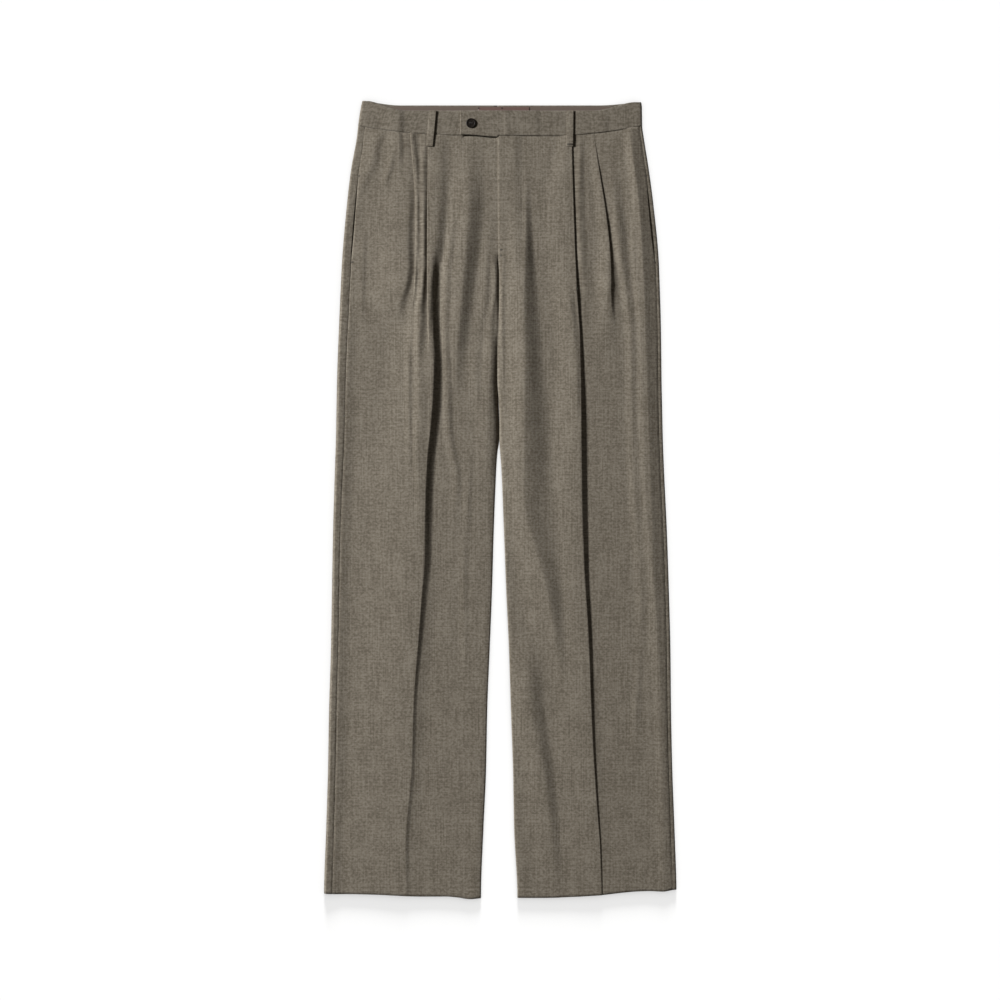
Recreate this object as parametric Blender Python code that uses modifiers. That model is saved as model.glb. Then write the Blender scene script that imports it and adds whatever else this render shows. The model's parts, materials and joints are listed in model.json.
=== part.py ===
"""Pleated dress trousers, laid flat on their back with the front up.

+X is the wearer's left, +Y points to the waist and +Z up. The origin is on the surface, under
the middle. Sizes are millimetres until a mesh is made. "Height" is measured up from the hem, and
"out" from the garment's middle line towards the side seam of either leg.
"""

import math
from collections import namedtuple

import bmesh
import bpy
import numpy as np

MM = 0.001
CLOTH = 1.1
GAP = 0.3
WAIST_GAP = 0.4
MIDDLE_HEIGHT = 549.43

# Levels of the middle of each layer over the surface.
BACK_LEVEL = CLOTH / 2
FRONT_LEVEL = 4.6
FLY_LIFT = CLOTH + GAP
BAND_CLOTH = 1.6
BAND_BACK_LEVEL = BAND_CLOTH / 2
BAND_FRONT_LEVEL = 5.2
TAB_LEVEL = BAND_FRONT_LEVEL + BAND_CLOTH + GAP

# Along the side and the inseam the cloth slopes down over a width, and turns over at its tip.
SIDE_ROLL = 11.4
INSEAM_ROLL = 9.0
BAND_ROLL = 7.0
EDGE_TIP = 2.6
SHOULDER = 0.5
FULL_TURN = (67.5, 45.0, 22.5, 0.0)
SEAM_TURN = (60.0, 35.0, 12.0)
FREE_EDGE = 4.0

# A pleat's fold takes up at least this width of flat cloth, and draws the cloth next to it in.
# Turned by less than the first angle it is a plain slope, and by more than the two together an arc.
PLEAT_WINDOW = 5.0
PLEAT_PULL = 12.0
SLOPE_ANGLE = 10.0
SLOPE_TO_FOLD = 25.0
ARC_END = 0.4
ARC_START = 0.6
PLEAT_PARTS = (1.0, 0.9, 0.8, 0.7, 0.6, 0.4, 0.3, 0.2, 0.1)
TUCK_ANGLE = 60.0

# The columns of a front panel keep the order that its folds have at this height.
ORDER_HEIGHT = 936
COLUMN_LEAST = 0.5

# The waist seam and the band dip at the front and rise to the sides.
WAIST_HALF = 195.0
FRONT_SEAM_HEIGHT = 1052.0
BACK_SEAM_HEIGHT = 1058.0
SIDE_SEAM_HEIGHT = 1064.0
SEAM_CURVE = 2.5
FRONT_TOP_HEIGHT = 1085.0
BACK_TOP_HEIGHT = 1092.5
SIDE_TOP_HEIGHT = 1098.7
FRONT_TOP_FLAT = 130.0
BACK_TOP_FLAT = 142.0
TOP_RISE_WIDTH = 42.0

# The fly: the left front lies over the right one, and lifts off it over a width and a height.
MIDDLE_LINE = -3.4
FLY_DIP = 3.0
FLY_DIP_RIGHT = 45.0
FLY_DIP_LEFT = 14.0
UNDERLAP = 12.0
FLY_END_HEIGHT = 890.0
FLY_RISE_HEIGHT = 38.0
FLY_RISE_START = FLY_END_HEIGHT - 45.0
FLY_FLAT_WIDTH = 18.0
FLY_RISE_WIDTH = 14.0

# Below the crotch the front and the back roll towards each other along the inseam.
CROTCH_HEIGHT = 762.0
INSEAM_START = CROTCH_HEIGHT + 20.0
INSEAM_FADE = 140.0

# The hem is lowest at the inseam: a straight slope on the right leg and a curve on the left.
RIGHT_HEM_START = 27.0
RIGHT_HEM_SLOPE = 0.0255
LEFT_HEM_START = 24.0
LEFT_HEM_WIDTH = 219.0
LEFT_HEM_RISE = 8.3

TAB_END = -55.0
TAB_RISE_START = 25.0
TAB_RISE_END = 9.0
BAND_END = MIDDLE_LINE - 1.5

BUTTON_CENTRE = (-39.5, 1067.7)
BUTTON_RADIUS = 7.0
BUTTON_THICKNESS = 2.6
BUTTON_DISH = 0.7
RIM_WIDTH = 1.6
HOLE_RADIUS = 0.8
HOLE_SPACING = 2.8

LOOP_MIDDLES = {"right": -93.5, "left": 96.0}
LOOP_CLOTH = 1.4
LOOP_WIDTH = 10.5
LOOP_LENGTH = 47.0
LOOP_BOW = 1.0
LOOP_FOOT = 8.0
LOOP_STEPS = 12

LINING_SIZE = (296.0, 30.0, 1.0)
LINING_DROP = 1.5
LABEL_SIZE = (71.0, 17.0, 0.8)
LABEL_MIDDLE = 5.5
LABEL_DROP = 2.5
FACING_CLOTH = 1.0
FACING_REACH = 14.0
FACING_COLUMNS = 7
FACING_ROWS = (866, 884, 900, 914, 940, 965, 985, 1005, 1020)

# The silhouette: the side and the inseam of each leg at a height.
Outline = namedtuple("Outline", "height right_side right_inner left_inner left_side")
OUTLINE = [
    Outline(0, 243.0, 27.0, 24.0, 243.0),
    Outline(95, 240.0, 25.0, 19.5, 240.0),
    Outline(175, 237.5, 21.0, 18.0, 237.5),
    Outline(260, 236.0, 19.5, 15.0, 235.0),
    Outline(340, 233.5, 15.5, 12.5, 234.5),
    Outline(425, 232.0, 12.5, 8.5, 232.0),
    Outline(505, 230.5, 9.5, 5.5, 229.0),
    Outline(590, 228.0, 7.0, 1.0, 225.0),
    Outline(636, 226.5, 3.6, -3.2, 223.5),
    Outline(715, 225.0, 3.6, -3.2, 222.0),
    Outline(795, 222.0, 3.6, -3.2, 221.0),
    Outline(880, 218.0, 3.6, -3.2, 218.0),
    Outline(960, 211.0, 3.6, -3.2, 210.0),
    Outline(1005, 205.5, 3.6, -3.2, 204.0),
    Outline(1050, 197.5, 3.6, -3.2, 197.5),
    Outline(1064, 196.0, 3.6, -3.2, 196.0),
    Outline(1092, 191.8, 3.6, -3.2, 194.5),
    Outline(1100, 190.0, 3.6, -3.2, 193.0),
]

# How far in from the side the edge of the back and of the front lie. They part at the pocket mouth.
SideSeam = namedtuple("SideSeam", "height back front")
RIGHT_SIDE_SEAM = [
    SideSeam(0, 14.0, 14.3),
    SideSeam(410, 13.5, 13.8),
    SideSeam(640, 12.3, 12.6),
    SideSeam(868, 12.6, 12.9),
    SideSeam(886, 10.5, 14.5),
    SideSeam(914, 9.0, 17.0),
    SideSeam(960, 9.5, 14.5),
    SideSeam(990, 11.4, 12.4),
    SideSeam(1005, 11.0, 11.3),
    SideSeam(1064, 9.4, 9.7),
]
LEFT_SIDE_SEAM = [
    SideSeam(0, 4.6, 4.9),
    SideSeam(640, 4.2, 4.5),
    SideSeam(868, 3.6, 3.9),
    SideSeam(886, 3.5, 5.2),
    SideSeam(914, 3.4, 6.6),
    SideSeam(960, 3.4, 6.0),
    SideSeam(985, 3.5, 4.4),
    SideSeam(1005, 3.6, 3.9),
    SideSeam(1064, 3.6, 3.9),
]

# A pleat's visible edge faces out. From there the cloth turns down by an angle on a radius, runs
# straight, and turns back: 180 degrees lays it in three, less makes a step, 0 leaves it flat.
# Past the fold the top layer sinks to its panel's level over the fade.
Pleat = namedtuple("Pleat", "height edge angle radius straight fade")
RIGHT_PLEATS = [
    [
        Pleat(0, 176.0, 0, 4.0, 2.0, 12.0),
        Pleat(600, 140.0, 0, 4.0, 2.0, 12.0),
        Pleat(780, 133.0, 0, 4.0, 2.0, 12.0),
        Pleat(824, 129.0, 60, 2.5, 1.0, 10.0),
        Pleat(865, 124.0, 165, 1.0, 2.5, 9.0),
        Pleat(907, 121.0, 180, 1.0, 2.6, 8.0),
        Pleat(982, 118.5, 180, 1.0, 2.2, 8.0),
        Pleat(1058, 116.0, 180, 1.0, 2.2, 9.0),
    ],
    [
        Pleat(0, 150.0, 0, 4.0, 2.0, 10.0),
        Pleat(600, 118.0, 0, 4.0, 2.0, 10.0),
        Pleat(740, 105.0, 0, 4.0, 2.0, 10.0),
        Pleat(790, 104.5, 40, 3.5, 1.0, 10.0),
        Pleat(825, 102.5, 100, 1.6, 0.8, 10.0),
        Pleat(858, 101.0, 165, 1.0, 3.0, 10.0),
        Pleat(914, 101.5, 180, 1.0, 5.0, 12.0),
        Pleat(1005, 101.5, 180, 1.0, 5.0, 14.0),
        Pleat(1034, 99.5, 180, 1.0, 5.0, 14.0),
        Pleat(1058, 98.5, 180, 1.0, 4.0, 14.0),
    ],
]
LEFT_PLEATS = [
    [
        Pleat(0, 192.0, 0, 4.0, 2.0, 12.0),
        Pleat(600, 172.0, 0, 4.0, 2.0, 12.0),
        Pleat(790, 161.0, 0, 4.0, 2.0, 12.0),
        Pleat(836, 155.5, 70, 2.2, 0.8, 12.0),
        Pleat(872, 152.5, 160, 1.0, 2.5, 12.0),
        Pleat(914, 150.0, 180, 1.0, 5.0, 14.0),
        Pleat(952, 144.5, 180, 1.0, 5.0, 14.0),
        Pleat(996, 136.5, 180, 1.0, 5.0, 12.0),
        Pleat(1058, 129.0, 180, 1.0, 4.0, 10.0),
    ],
    [
        Pleat(0, 140.0, 42, 2.6, 0.5, 16.0),
        Pleat(134, 132.7, 42, 3.0, 0.8, 18.0),
        Pleat(226, 127.0, 44, 3.4, 1.0, 18.0),
        Pleat(364, 122.0, 48, 3.8, 1.2, 22.0),
        Pleat(455, 116.0, 48, 4.4, 1.8, 25.0),
        Pleat(548, 112.5, 48, 5.2, 2.2, 28.0),
        Pleat(679, 110.5, 46, 5.8, 2.2, 28.0),
        Pleat(776, 107.3, 55, 4.2, 2.0, 25.0),
        Pleat(831, 103.6, 95, 1.8, 1.2, 22.0),
        Pleat(872, 101.5, 165, 1.0, 3.5, 20.0),
        Pleat(914, 100.5, 180, 1.0, 5.0, 20.0),
        Pleat(1024, 98.7, 180, 1.0, 5.0, 18.0),
        Pleat(1058, 97.5, 180, 1.0, 4.0, 16.0),
    ],
]

# Soft ridges: the pressed crease and the drag folds of the thigh and side.
Ridge = namedtuple("Ridge", "height crest lift outer inner")
RIGHT_RIDGES = [
    [
        Ridge(0, 131.5, 1.8, 22.0, 6.0),
        Ridge(88, 128.5, 2.0, 22.0, 6.0),
        Ridge(179, 124.0, 2.2, 22.0, 7.0),
        Ridge(272, 118.5, 3.0, 22.0, 8.0),
        Ridge(410, 109.0, 4.0, 24.0, 10.0),
        Ridge(548, 103.5, 4.6, 26.0, 12.0),
        Ridge(617, 101.0, 4.6, 26.0, 12.0),
        Ridge(686, 91.0, 4.4, 24.0, 12.0),
        Ridge(748, 90.0, 3.6, 20.0, 12.0),
        Ridge(803, 92.5, 2.6, 14.0, 12.0),
        Ridge(845, 92.0, 2.4, 10.0, 11.0),
        Ridge(914, 86.0, 2.8, 12.0, 11.0),
        Ridge(969, 83.0, 2.8, 14.0, 11.0),
        Ridge(1030, 81.5, 1.8, 14.0, 10.0),
        Ridge(1058, 81.0, 0.6, 14.0, 10.0),
    ],
    [
        Ridge(0, 92.0, 0.0, 18.0, 14.0),
        Ridge(500, 72.0, 0.0, 18.0, 14.0),
        Ridge(690, 66.0, 0.4, 16.0, 13.0),
        Ridge(753, 61.0, 2.4, 16.0, 13.0),
        Ridge(803, 55.0, 3.6, 16.0, 13.0),
        Ridge(845, 51.0, 4.0, 16.0, 13.0),
        Ridge(941, 44.0, 4.0, 16.0, 13.0),
        Ridge(996, 39.0, 2.4, 16.0, 13.0),
        Ridge(1058, 35.0, 0.0, 16.0, 13.0),
    ],
]
LEFT_RIDGES = [
    [
        Ridge(0, 213.0, 0.0, 10.0, 14.0),
        Ridge(640, 190.0, 0.0, 10.0, 14.0),
        Ridge(707, 184.0, 1.4, 10.0, 14.0),
        Ridge(803, 178.5, 2.4, 10.0, 14.0),
        Ridge(858, 174.0, 2.4, 10.0, 12.0),
        Ridge(914, 169.0, 2.2, 10.0, 10.0),
        Ridge(969, 161.0, 1.4, 10.0, 9.0),
        Ridge(1058, 153.0, 0.0, 10.0, 12.0),
    ],
    [
        Ridge(0, 100.0, 0.0, 12.0, 20.0),
        Ridge(280, 83.0, 0.4, 12.0, 20.0),
        Ridge(345, 80.0, 1.8, 12.0, 20.0),
        Ridge(428, 72.5, 3.0, 12.0, 22.0),
        Ridge(488, 63.0, 3.6, 12.0, 22.0),
        Ridge(557, 52.0, 4.0, 12.0, 22.0),
        Ridge(631, 43.0, 4.0, 12.0, 22.0),
        Ridge(720, 42.0, 4.2, 12.0, 20.0),
        Ridge(831, 38.0, 4.2, 12.0, 18.0),
        Ridge(958, 35.5, 3.2, 12.0, 16.0),
        Ridge(990, 35.0, 1.0, 12.0, 16.0),
        Ridge(1058, 34.0, 0.0, 12.0, 16.0),
    ],
]

WOOL = (0.165, 0.145, 0.118)
LINING = (0.15, 0.12, 0.09)
LABEL = (0.22, 0.09, 0.07)
HORN = (0.012, 0.008, 0.005)

Leg = namedtuple("Leg", "name sign side inner seam pleats ridges")
RIGHT = Leg("right", -1, "right_side", "right_inner", RIGHT_SIDE_SEAM, RIGHT_PLEATS, RIGHT_RIDGES)
LEFT = Leg("left", 1, "left_side", "left_inner", LEFT_SIDE_SEAM, LEFT_PLEATS, LEFT_RIDGES)

# Heights of the panels' rows, closest where the pleats and the fly end.
ROWS = [0, 60, 134, 205, 272, 340, 410, 480, 548, 600, 636, 679, 720, 762, 785, 810, 836, 862]
ROWS += [884, 896, 914, 940, 965, 985, 1005, 1022, 1038, 1052]


def ease(part):
    part = np.clip(part, 0.0, 1.0)
    return part * part * (3 - 2 * part)


def row_at(rows, height):
    """The row of a table at a height, by cubic curves that don't overshoot."""
    heights = np.array([row.height for row in rows], float)
    height = min(max(height, heights[0]), heights[-1])
    last = min(int(np.searchsorted(heights, height, "right")), len(rows) - 1)
    values = np.array(rows, float)
    steps = np.diff(heights)[:, None]
    rises = np.diff(values, axis=0) / steps
    slopes = np.zeros_like(values)
    same_way = rises[:-1] * rises[1:] > 0
    total = np.where(same_way, rises[:-1] + rises[1:], 1.0)
    slopes[1:-1] = np.where(same_way, 2 * rises[:-1] * rises[1:] / total, 0.0)
    first = last - 1
    step = heights[last] - heights[first]
    part = (height - heights[first]) / step
    found = (
        values[first] * (1 + 2 * part) * (1 - part) ** 2
        + slopes[first] * step * part * (1 - part) ** 2
        + values[last] * part**2 * (3 - 2 * part)
        + slopes[last] * step * part**2 * (part - 1)
    )
    return type(rows[0])(*found)


def waist_seam(x, middle_height):
    """Height of the waist seam at a place across, with the small dip where the fly ends."""
    seam = middle_height + (SIDE_SEAM_HEIGHT - middle_height) * (abs(x) / WAIST_HALF) ** SEAM_CURVE
    if middle_height == FRONT_SEAM_HEIGHT:
        reach = FLY_DIP_RIGHT if x < MIDDLE_LINE else FLY_DIP_LEFT
        seam -= FLY_DIP * ease(1 - abs(x - MIDDLE_LINE) / reach)
    return float(seam)


def band_top(x, front):
    """Height of the band's top edge: low in front, higher at the back, highest at the sides."""
    low, flat = (FRONT_TOP_HEIGHT, FRONT_TOP_FLAT) if front else (BACK_TOP_HEIGHT, BACK_TOP_FLAT)
    return low + (SIDE_TOP_HEIGHT - low) * float(ease((abs(x) - flat) / TOP_RISE_WIDTH))


def hem(leg, x):
    """Height of the hem, which is lowest at the inseam."""
    if leg.sign < 0:
        return max(abs(x) - RIGHT_HEM_START, 0) * RIGHT_HEM_SLOPE
    return LEFT_HEM_RISE * (max(abs(x) - LEFT_HEM_START, 0) / LEFT_HEM_WIDTH) ** 1.5


def edge_drop(inwards, width, half_height):
    """How far the cloth lies from its full level at a distance in from the silhouette."""
    slope = max(1 - inwards / width, 0.0)
    turn = min(max(1 - inwards / EDGE_TIP, 0.0), 1.0)
    return SHOULDER * slope**2 + (half_height - SHOULDER) * (1 - math.sqrt(1 - turn * turn))


def turn_places(angles):
    """Distances in from the silhouette at which the turned edge has these angles."""
    return [EDGE_TIP * (1 - math.cos(math.radians(angle))) for angle in angles]


def side_of(leg, height):
    return getattr(row_at(OUTLINE, height), leg.side) - CLOTH / 2


def inner_of(leg, height):
    """Where the two legs meet, or the inseam below the crotch."""
    return getattr(row_at(OUTLINE, height), leg.inner) + CLOTH / 2 * inseam_share(height)


def inseam_share(height):
    """0 above the crotch, where front and back lie flat, and 1 down the leg, where they roll."""
    return float(ease((INSEAM_START - height) / INSEAM_FADE))


def ridge_lift(row, out):
    reach = row.outer if out > row.crest else row.inner
    part = min(abs(out - row.crest) / reach, 1.0)
    return row.lift * (1 - part * part) ** 2


def fold_share(row):
    """0 where the cloth lies flat and 1 where it turns enough to be drawn as a fold."""
    return float(ease((row.angle - SLOPE_ANGLE) / SLOPE_TO_FOLD))


def pleat_size(row):
    """How far across and how high a fold reaches from the cloth under it to its edge."""
    angle = math.radians(row.angle)
    across = 2 * row.radius * math.sin(angle) + row.straight * math.cos(angle)
    high = 2 * row.radius * (1 - math.cos(angle)) + row.straight * math.sin(angle)
    return across * fold_share(row) + PLEAT_WINDOW * (1 - fold_share(row)), high


def pleat_window(row):
    """Width of flat cloth that the fold itself takes up."""
    return max(PLEAT_WINDOW, pleat_size(row)[0])


def pleat_fold(row, part):
    """Place from the edge and lift of the cloth in a fold, from its edge (0) to under it (1)."""
    across, high = pleat_size(row)
    angle = math.radians(row.angle)
    if part <= ARC_END:
        turn = angle * part / ARC_END
        fold = (row.radius * math.sin(turn), high - row.radius * (1 - math.cos(turn)))
    elif part < ARC_START:
        along = row.straight * (part - ARC_END) / (ARC_START - ARC_END)
        place = row.radius * math.sin(angle) + along * math.cos(angle)
        fold = (place, high - row.radius * (1 - math.cos(angle)) - along * math.sin(angle))
    else:
        turn = angle * (1 - part) / (1 - ARC_START)
        fold = (across - row.radius * math.sin(turn), row.radius * (1 - math.cos(turn)))
    share = fold_share(row)
    slope = (across * part, high * (1 - float(ease(part))))
    return share * fold[0] + (1 - share) * slope[0], share * fold[1] + (1 - share) * slope[1]


def pleat_shift(row, out):
    """How far a pleat moves the cloth: the lower cloth is drawn in under the edge."""
    window = pleat_window(row)
    beyond = (out - row.edge - window) / PLEAT_PULL
    if beyond >= 0:
        return (pleat_size(row)[0] - window) * (1 - float(ease(beyond)))
    if out <= row.edge:
        return 0.0
    return row.edge + pleat_fold(row, (out - row.edge) / window)[0] - out


def flat_end(row):
    """The top layer lies level from the edge to here, past the cloth folded under it."""
    reach = max(row.radius - pleat_size(row)[0], 0.0) + CLOTH
    return row.edge - reach * float(ease((row.angle - TUCK_ANGLE) / TUCK_ANGLE))


def pleat_lift(row, out, place):
    window = pleat_window(row)
    if out >= row.edge + window:
        return 0.0
    if out > row.edge:
        return pleat_fold(row, (out - row.edge) / window)[1]
    return pleat_size(row)[1] * (1 - float(ease((flat_end(row) - place) / row.fade)))


def front_point(leg, out, height):
    """Place across and level of the middle of the front cloth at a flat position across."""
    pleats = [row_at(pleat, height) for pleat in leg.pleats]
    place = out + sum(pleat_shift(row, out) for row in pleats)
    level = FRONT_LEVEL + sum(pleat_lift(row, out, place) for row in pleats)
    level += sum(ridge_lift(row_at(ridge, height), place) for ridge in leg.ridges)
    half = (FRONT_LEVEL - BACK_LEVEL) / 2
    level -= edge_drop(side_of(leg, height) - place, SIDE_ROLL, half)
    level -= inseam_share(height) * edge_drop(place - inner_of(leg, height), INSEAM_ROLL, half)
    if leg.sign > 0:
        across = 1 - float(ease((place - FLY_FLAT_WIDTH) / FLY_RISE_WIDTH))
        level += FLY_LIFT * across * float(ease((height - FLY_RISE_START) / FLY_RISE_HEIGHT))
    return place, level


def spread(start, end, count):
    """Even positions from start up to but not including end."""
    return [start + (end - start) * part / count for part in range(count)]


def fold_stops(leg, height):
    """Flat positions of the folds of a leg, each with the number of columns up to the next one."""
    stops = []
    for pleat in leg.pleats:
        row = row_at(pleat, height)
        stops += [(row.edge + pleat_window(row) * part, 1) for part in PLEAT_PARTS]
        stops += [(row.edge, 1), (flat_end(row), 2)]
    for ridge in leg.ridges:
        row = row_at(ridge, height)
        stops += [(row.crest, 1), (row.crest - row.inner / 2, 2)]
    return stops


def front_positions(leg, height):
    """Flat positions across a row, from the side seam in, with columns on every fold."""
    stops = fold_stops(leg, height)
    across = fold_stops(leg, ORDER_HEIGHT)
    order = sorted(range(len(stops)), key=lambda index: -across[index][0])
    stops = [stops[index] for index in order]
    start = side_of(leg, height) + CLOTH / 2 - row_at(leg.seam, height).front
    under = UNDERLAP if leg.sign < 0 and height > FLY_END_HEIGHT else 0
    end = inner_of(leg, height) - under
    rolled = min(side_of(leg, height) - SIDE_ROLL, start - FREE_EDGE)
    stops = [(start, 3), (rolled, 2)] + stops + [(end + INSEAM_ROLL, 2), (end + EDGE_TIP, 1)]
    found = []
    latest = start
    for (place, count), (following, _) in zip(stops, stops[1:] + [(end, 1)]):
        latest = min(place, latest)
        following = min(following, latest - COLUMN_LEAST)
        found += spread(latest, following, count)
        latest = following
    return found + [end + place for place in turn_places(SEAM_TURN)]


def panel_height(leg, x, share):
    low = hem(leg, x)
    return low + share * (waist_seam(x, FRONT_SEAM_HEIGHT) - WAIST_GAP - low)


def front_grid(leg):
    """Rows of points of a front panel, from the hem to the waist seam."""
    grid = []
    for nominal in ROWS:
        share = nominal / FRONT_SEAM_HEIGHT
        row = []
        for column in range(len(front_positions(leg, nominal))):
            height = nominal
            for _ in range(3):
                out = front_positions(leg, height)[column]
                place, level = front_point(leg, out, height)
                height = panel_height(leg, leg.sign * place, share)
            row.append((leg.sign * place, height, level))
        grid.append(row)
    return grid


def back_section(leg, height):
    """Places across and levels of a back panel: from the seam on top, round the side, to the middle."""
    half = (FRONT_LEVEL - BACK_LEVEL) / 2
    side = side_of(leg, height)
    inner = inner_of(leg, height)
    curl = inseam_share(height)
    section = []
    turned = turn_places(FULL_TURN)
    on_top = spread(row_at(leg.seam, height).back - CLOTH / 2, EDGE_TIP, 2) + [EDGE_TIP] + turned
    for inwards in on_top:
        section.append((side - inwards, FRONT_LEVEL - edge_drop(inwards, SIDE_ROLL, half), 0.0))
    for inwards in turned[-2::-1] + [EDGE_TIP, SIDE_ROLL / 2]:
        section.append((side - inwards, BACK_LEVEL + edge_drop(inwards, SIDE_ROLL, half), 0.0))
    for part in (0.0, 0.33, 0.67):
        out = (side - SIDE_ROLL) * (1 - part) + (inner + INSEAM_ROLL) * part
        section.append((out, BACK_LEVEL, min(part * 3, 1.0)))
    for inwards in [INSEAM_ROLL, INSEAM_ROLL / 2, EDGE_TIP] + turn_places(SEAM_TURN):
        lift = curl * edge_drop(inwards, INSEAM_ROLL, half)
        section.append((inner + inwards, BACK_LEVEL + lift, 1.0))
    return section


def back_grid(leg):
    """Rows of points of a back panel, from the hem to the waist seam."""
    grid = []
    for nominal in ROWS:
        row = []
        share = nominal / FRONT_SEAM_HEIGHT
        for column in range(len(back_section(leg, nominal))):
            height = nominal
            for _ in range(3):
                out, level, floor_share = back_section(leg, height)[column]
                x = leg.sign * out
                low = hem(leg, x)
                high = waist_seam(x, FRONT_SEAM_HEIGHT) * (1 - floor_share)
                high += waist_seam(x, BACK_SEAM_HEIGHT) * floor_share
                height = low + share * (high - WAIST_GAP - low)
            row.append((x, height, level))
        grid.append(row)
    return grid


def band_section(leg, height):
    """Places across, levels and front shares of half a waistband, from the centre back round."""
    half = (BAND_FRONT_LEVEL - BAND_BACK_LEVEL) / 2
    side = getattr(row_at(OUTLINE, height), leg.side) - BAND_CLOTH / 2
    turned = turn_places(FULL_TURN)
    section = []
    for out in spread(getattr(OUTLINE[-1], leg.inner), side - BAND_ROLL, 6):
        section.append((out, BAND_BACK_LEVEL, 0.0))
    for inwards in [BAND_ROLL, EDGE_TIP] + turned[:-1]:
        section.append((side - inwards, BAND_BACK_LEVEL + edge_drop(inwards, BAND_ROLL, half), 0.5))
    for inwards in turned[::-1] + [EDGE_TIP]:
        section.append((side - inwards, BAND_FRONT_LEVEL - edge_drop(inwards, BAND_ROLL, half), 0.5))
    if leg.sign < 0:
        stops = [side - BAND_ROLL, BAND_END]
        counts = [18]
    else:
        stops = [side - BAND_ROLL, TAB_RISE_START, TAB_RISE_END, TAB_END]
        counts = [12, 5, 6]
    for first, last, count in zip(stops, stops[1:], counts):
        for out in spread(first, last, count):
            section.append((out, BAND_FRONT_LEVEL + tab_lift(leg, out), 1.0))
    section.append((stops[-1], BAND_FRONT_LEVEL + tab_lift(leg, stops[-1]), 1.0))
    return section


def tab_lift(leg, out):
    """The left half rises over the end of the right half."""
    if leg.sign < 0:
        return 0.0
    risen = float(ease((TAB_RISE_START - out) / (TAB_RISE_START - TAB_RISE_END)))
    return (TAB_LEVEL - BAND_FRONT_LEVEL) * risen


def band_grid(leg):
    """Rows of points of half a waistband, from its lower to its upper edge."""
    grid = []
    for share in (0.0, 0.35, 0.7, 1.0):
        row = []
        height = SIDE_SEAM_HEIGHT + (SIDE_TOP_HEIGHT - SIDE_SEAM_HEIGHT) * share
        for out, level, front in band_section(leg, height):
            x = leg.sign * out
            low = waist_seam(x, FRONT_SEAM_HEIGHT) * front + waist_seam(x, BACK_SEAM_HEIGHT) * (1 - front)
            high = band_top(x, True) * front + band_top(x, False) * (1 - front)
            row.append((x, low + share * (high - low), level))
        grid.append(row)
    return grid


def facing_grid(leg):
    """A strip inside the pocket mouth, made from the side's own surface moved in."""
    half = (FRONT_LEVEL - BACK_LEVEL) / 2
    under = CLOTH / 2 + GAP + FACING_CLOTH / 2
    grid = []
    for height in FACING_ROWS:
        side = side_of(leg, height)
        row = []
        for inwards in spread(EDGE_TIP, row_at(leg.seam, height).front + FACING_REACH, FACING_COLUMNS):
            level = FRONT_LEVEL - edge_drop(inwards, SIDE_ROLL, half)
            row.append((leg.sign * (side - inwards), height, level - under))
        grid.append(row)
    return grid


def panel_top(leg, x, height):
    """Top of the front cloth under a place, for what is laid on it."""
    return front_point(leg, leg.sign * x, height)[1] + CLOTH / 2


def loop_grid(leg, middle):
    """A belt loop: a strip from the band's top edge over the waist seam to the front."""
    top_end = band_top(middle, True)
    low_end = top_end - LOOP_LENGTH
    across = [middle + LOOP_WIDTH * part for part in (-0.5, -0.17, 0.17, 0.5)]
    seat_top = BAND_FRONT_LEVEL + (BAND_CLOTH + LOOP_CLOTH) / 2 + GAP
    seat_low = max(panel_top(leg, x, low_end + y) for x in across for y in (0, LOOP_FOOT / 2, LOOP_FOOT))
    seat_low += GAP + LOOP_CLOTH / 2
    grid = []
    foot = LOOP_FOOT / LOOP_LENGTH
    for step in range(LOOP_STEPS + 1):
        share = step / LOOP_STEPS
        free = float(np.clip((share - foot) / (1 - foot), 0, 1))
        level = seat_low + (seat_top - seat_low) * float(ease(free))
        level += LOOP_BOW * math.sin(math.pi * free)
        grid.append([(x, low_end + share * LOOP_LENGTH, level) for x in across])
    return grid


def material(name, colour, roughness):
    made = bpy.data.materials.new(name)
    made.use_nodes = True
    shader = made.node_tree.nodes["Principled BSDF"]
    shader.inputs["Base Color"].default_value = (*colour, 1.0)
    shader.inputs["Roughness"].default_value = roughness
    return made


def finish(name, mesh, made_of, collection):
    mesh.materials.append(made_of)
    piece = bpy.data.objects.new(name, mesh)
    collection.objects.link(piece)
    return piece


def sheet(name, grid, thickness, made_of, collection):
    """An open grid of points in millimetres, made a wall of a thickness."""
    rows = len(grid)
    columns = len(grid[0])
    points = [(x * MM, (y - MIDDLE_HEIGHT) * MM, z * MM) for row in grid for x, y, z in row]
    faces = []
    for row in range(rows - 1):
        for column in range(columns - 1):
            corner = row * columns + column
            faces.append((corner, corner + 1, corner + columns + 1, corner + columns))
    mesh = bpy.data.meshes.new(name)
    mesh.from_pydata(points, [], faces)
    mesh.shade_smooth()
    piece = finish(name, mesh, made_of, collection)
    wall = piece.modifiers.new("wall", "SOLIDIFY")
    wall.thickness = thickness * MM
    wall.offset = 0.0
    wall.use_even_offset = True
    return piece


def box(name, size, place, made_of, collection):
    mesh = bpy.data.meshes.new(name)
    shape = bmesh.new()
    bmesh.ops.create_cube(shape, size=1.0)
    bmesh.ops.scale(shape, vec=[side * MM for side in size], verts=shape.verts)
    shape.to_mesh(mesh)
    shape.free()
    piece = finish(name, mesh, made_of, collection)
    x, y, z = place
    piece.location = (x * MM, (y - MIDDLE_HEIGHT) * MM, z * MM)
    return piece


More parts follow.
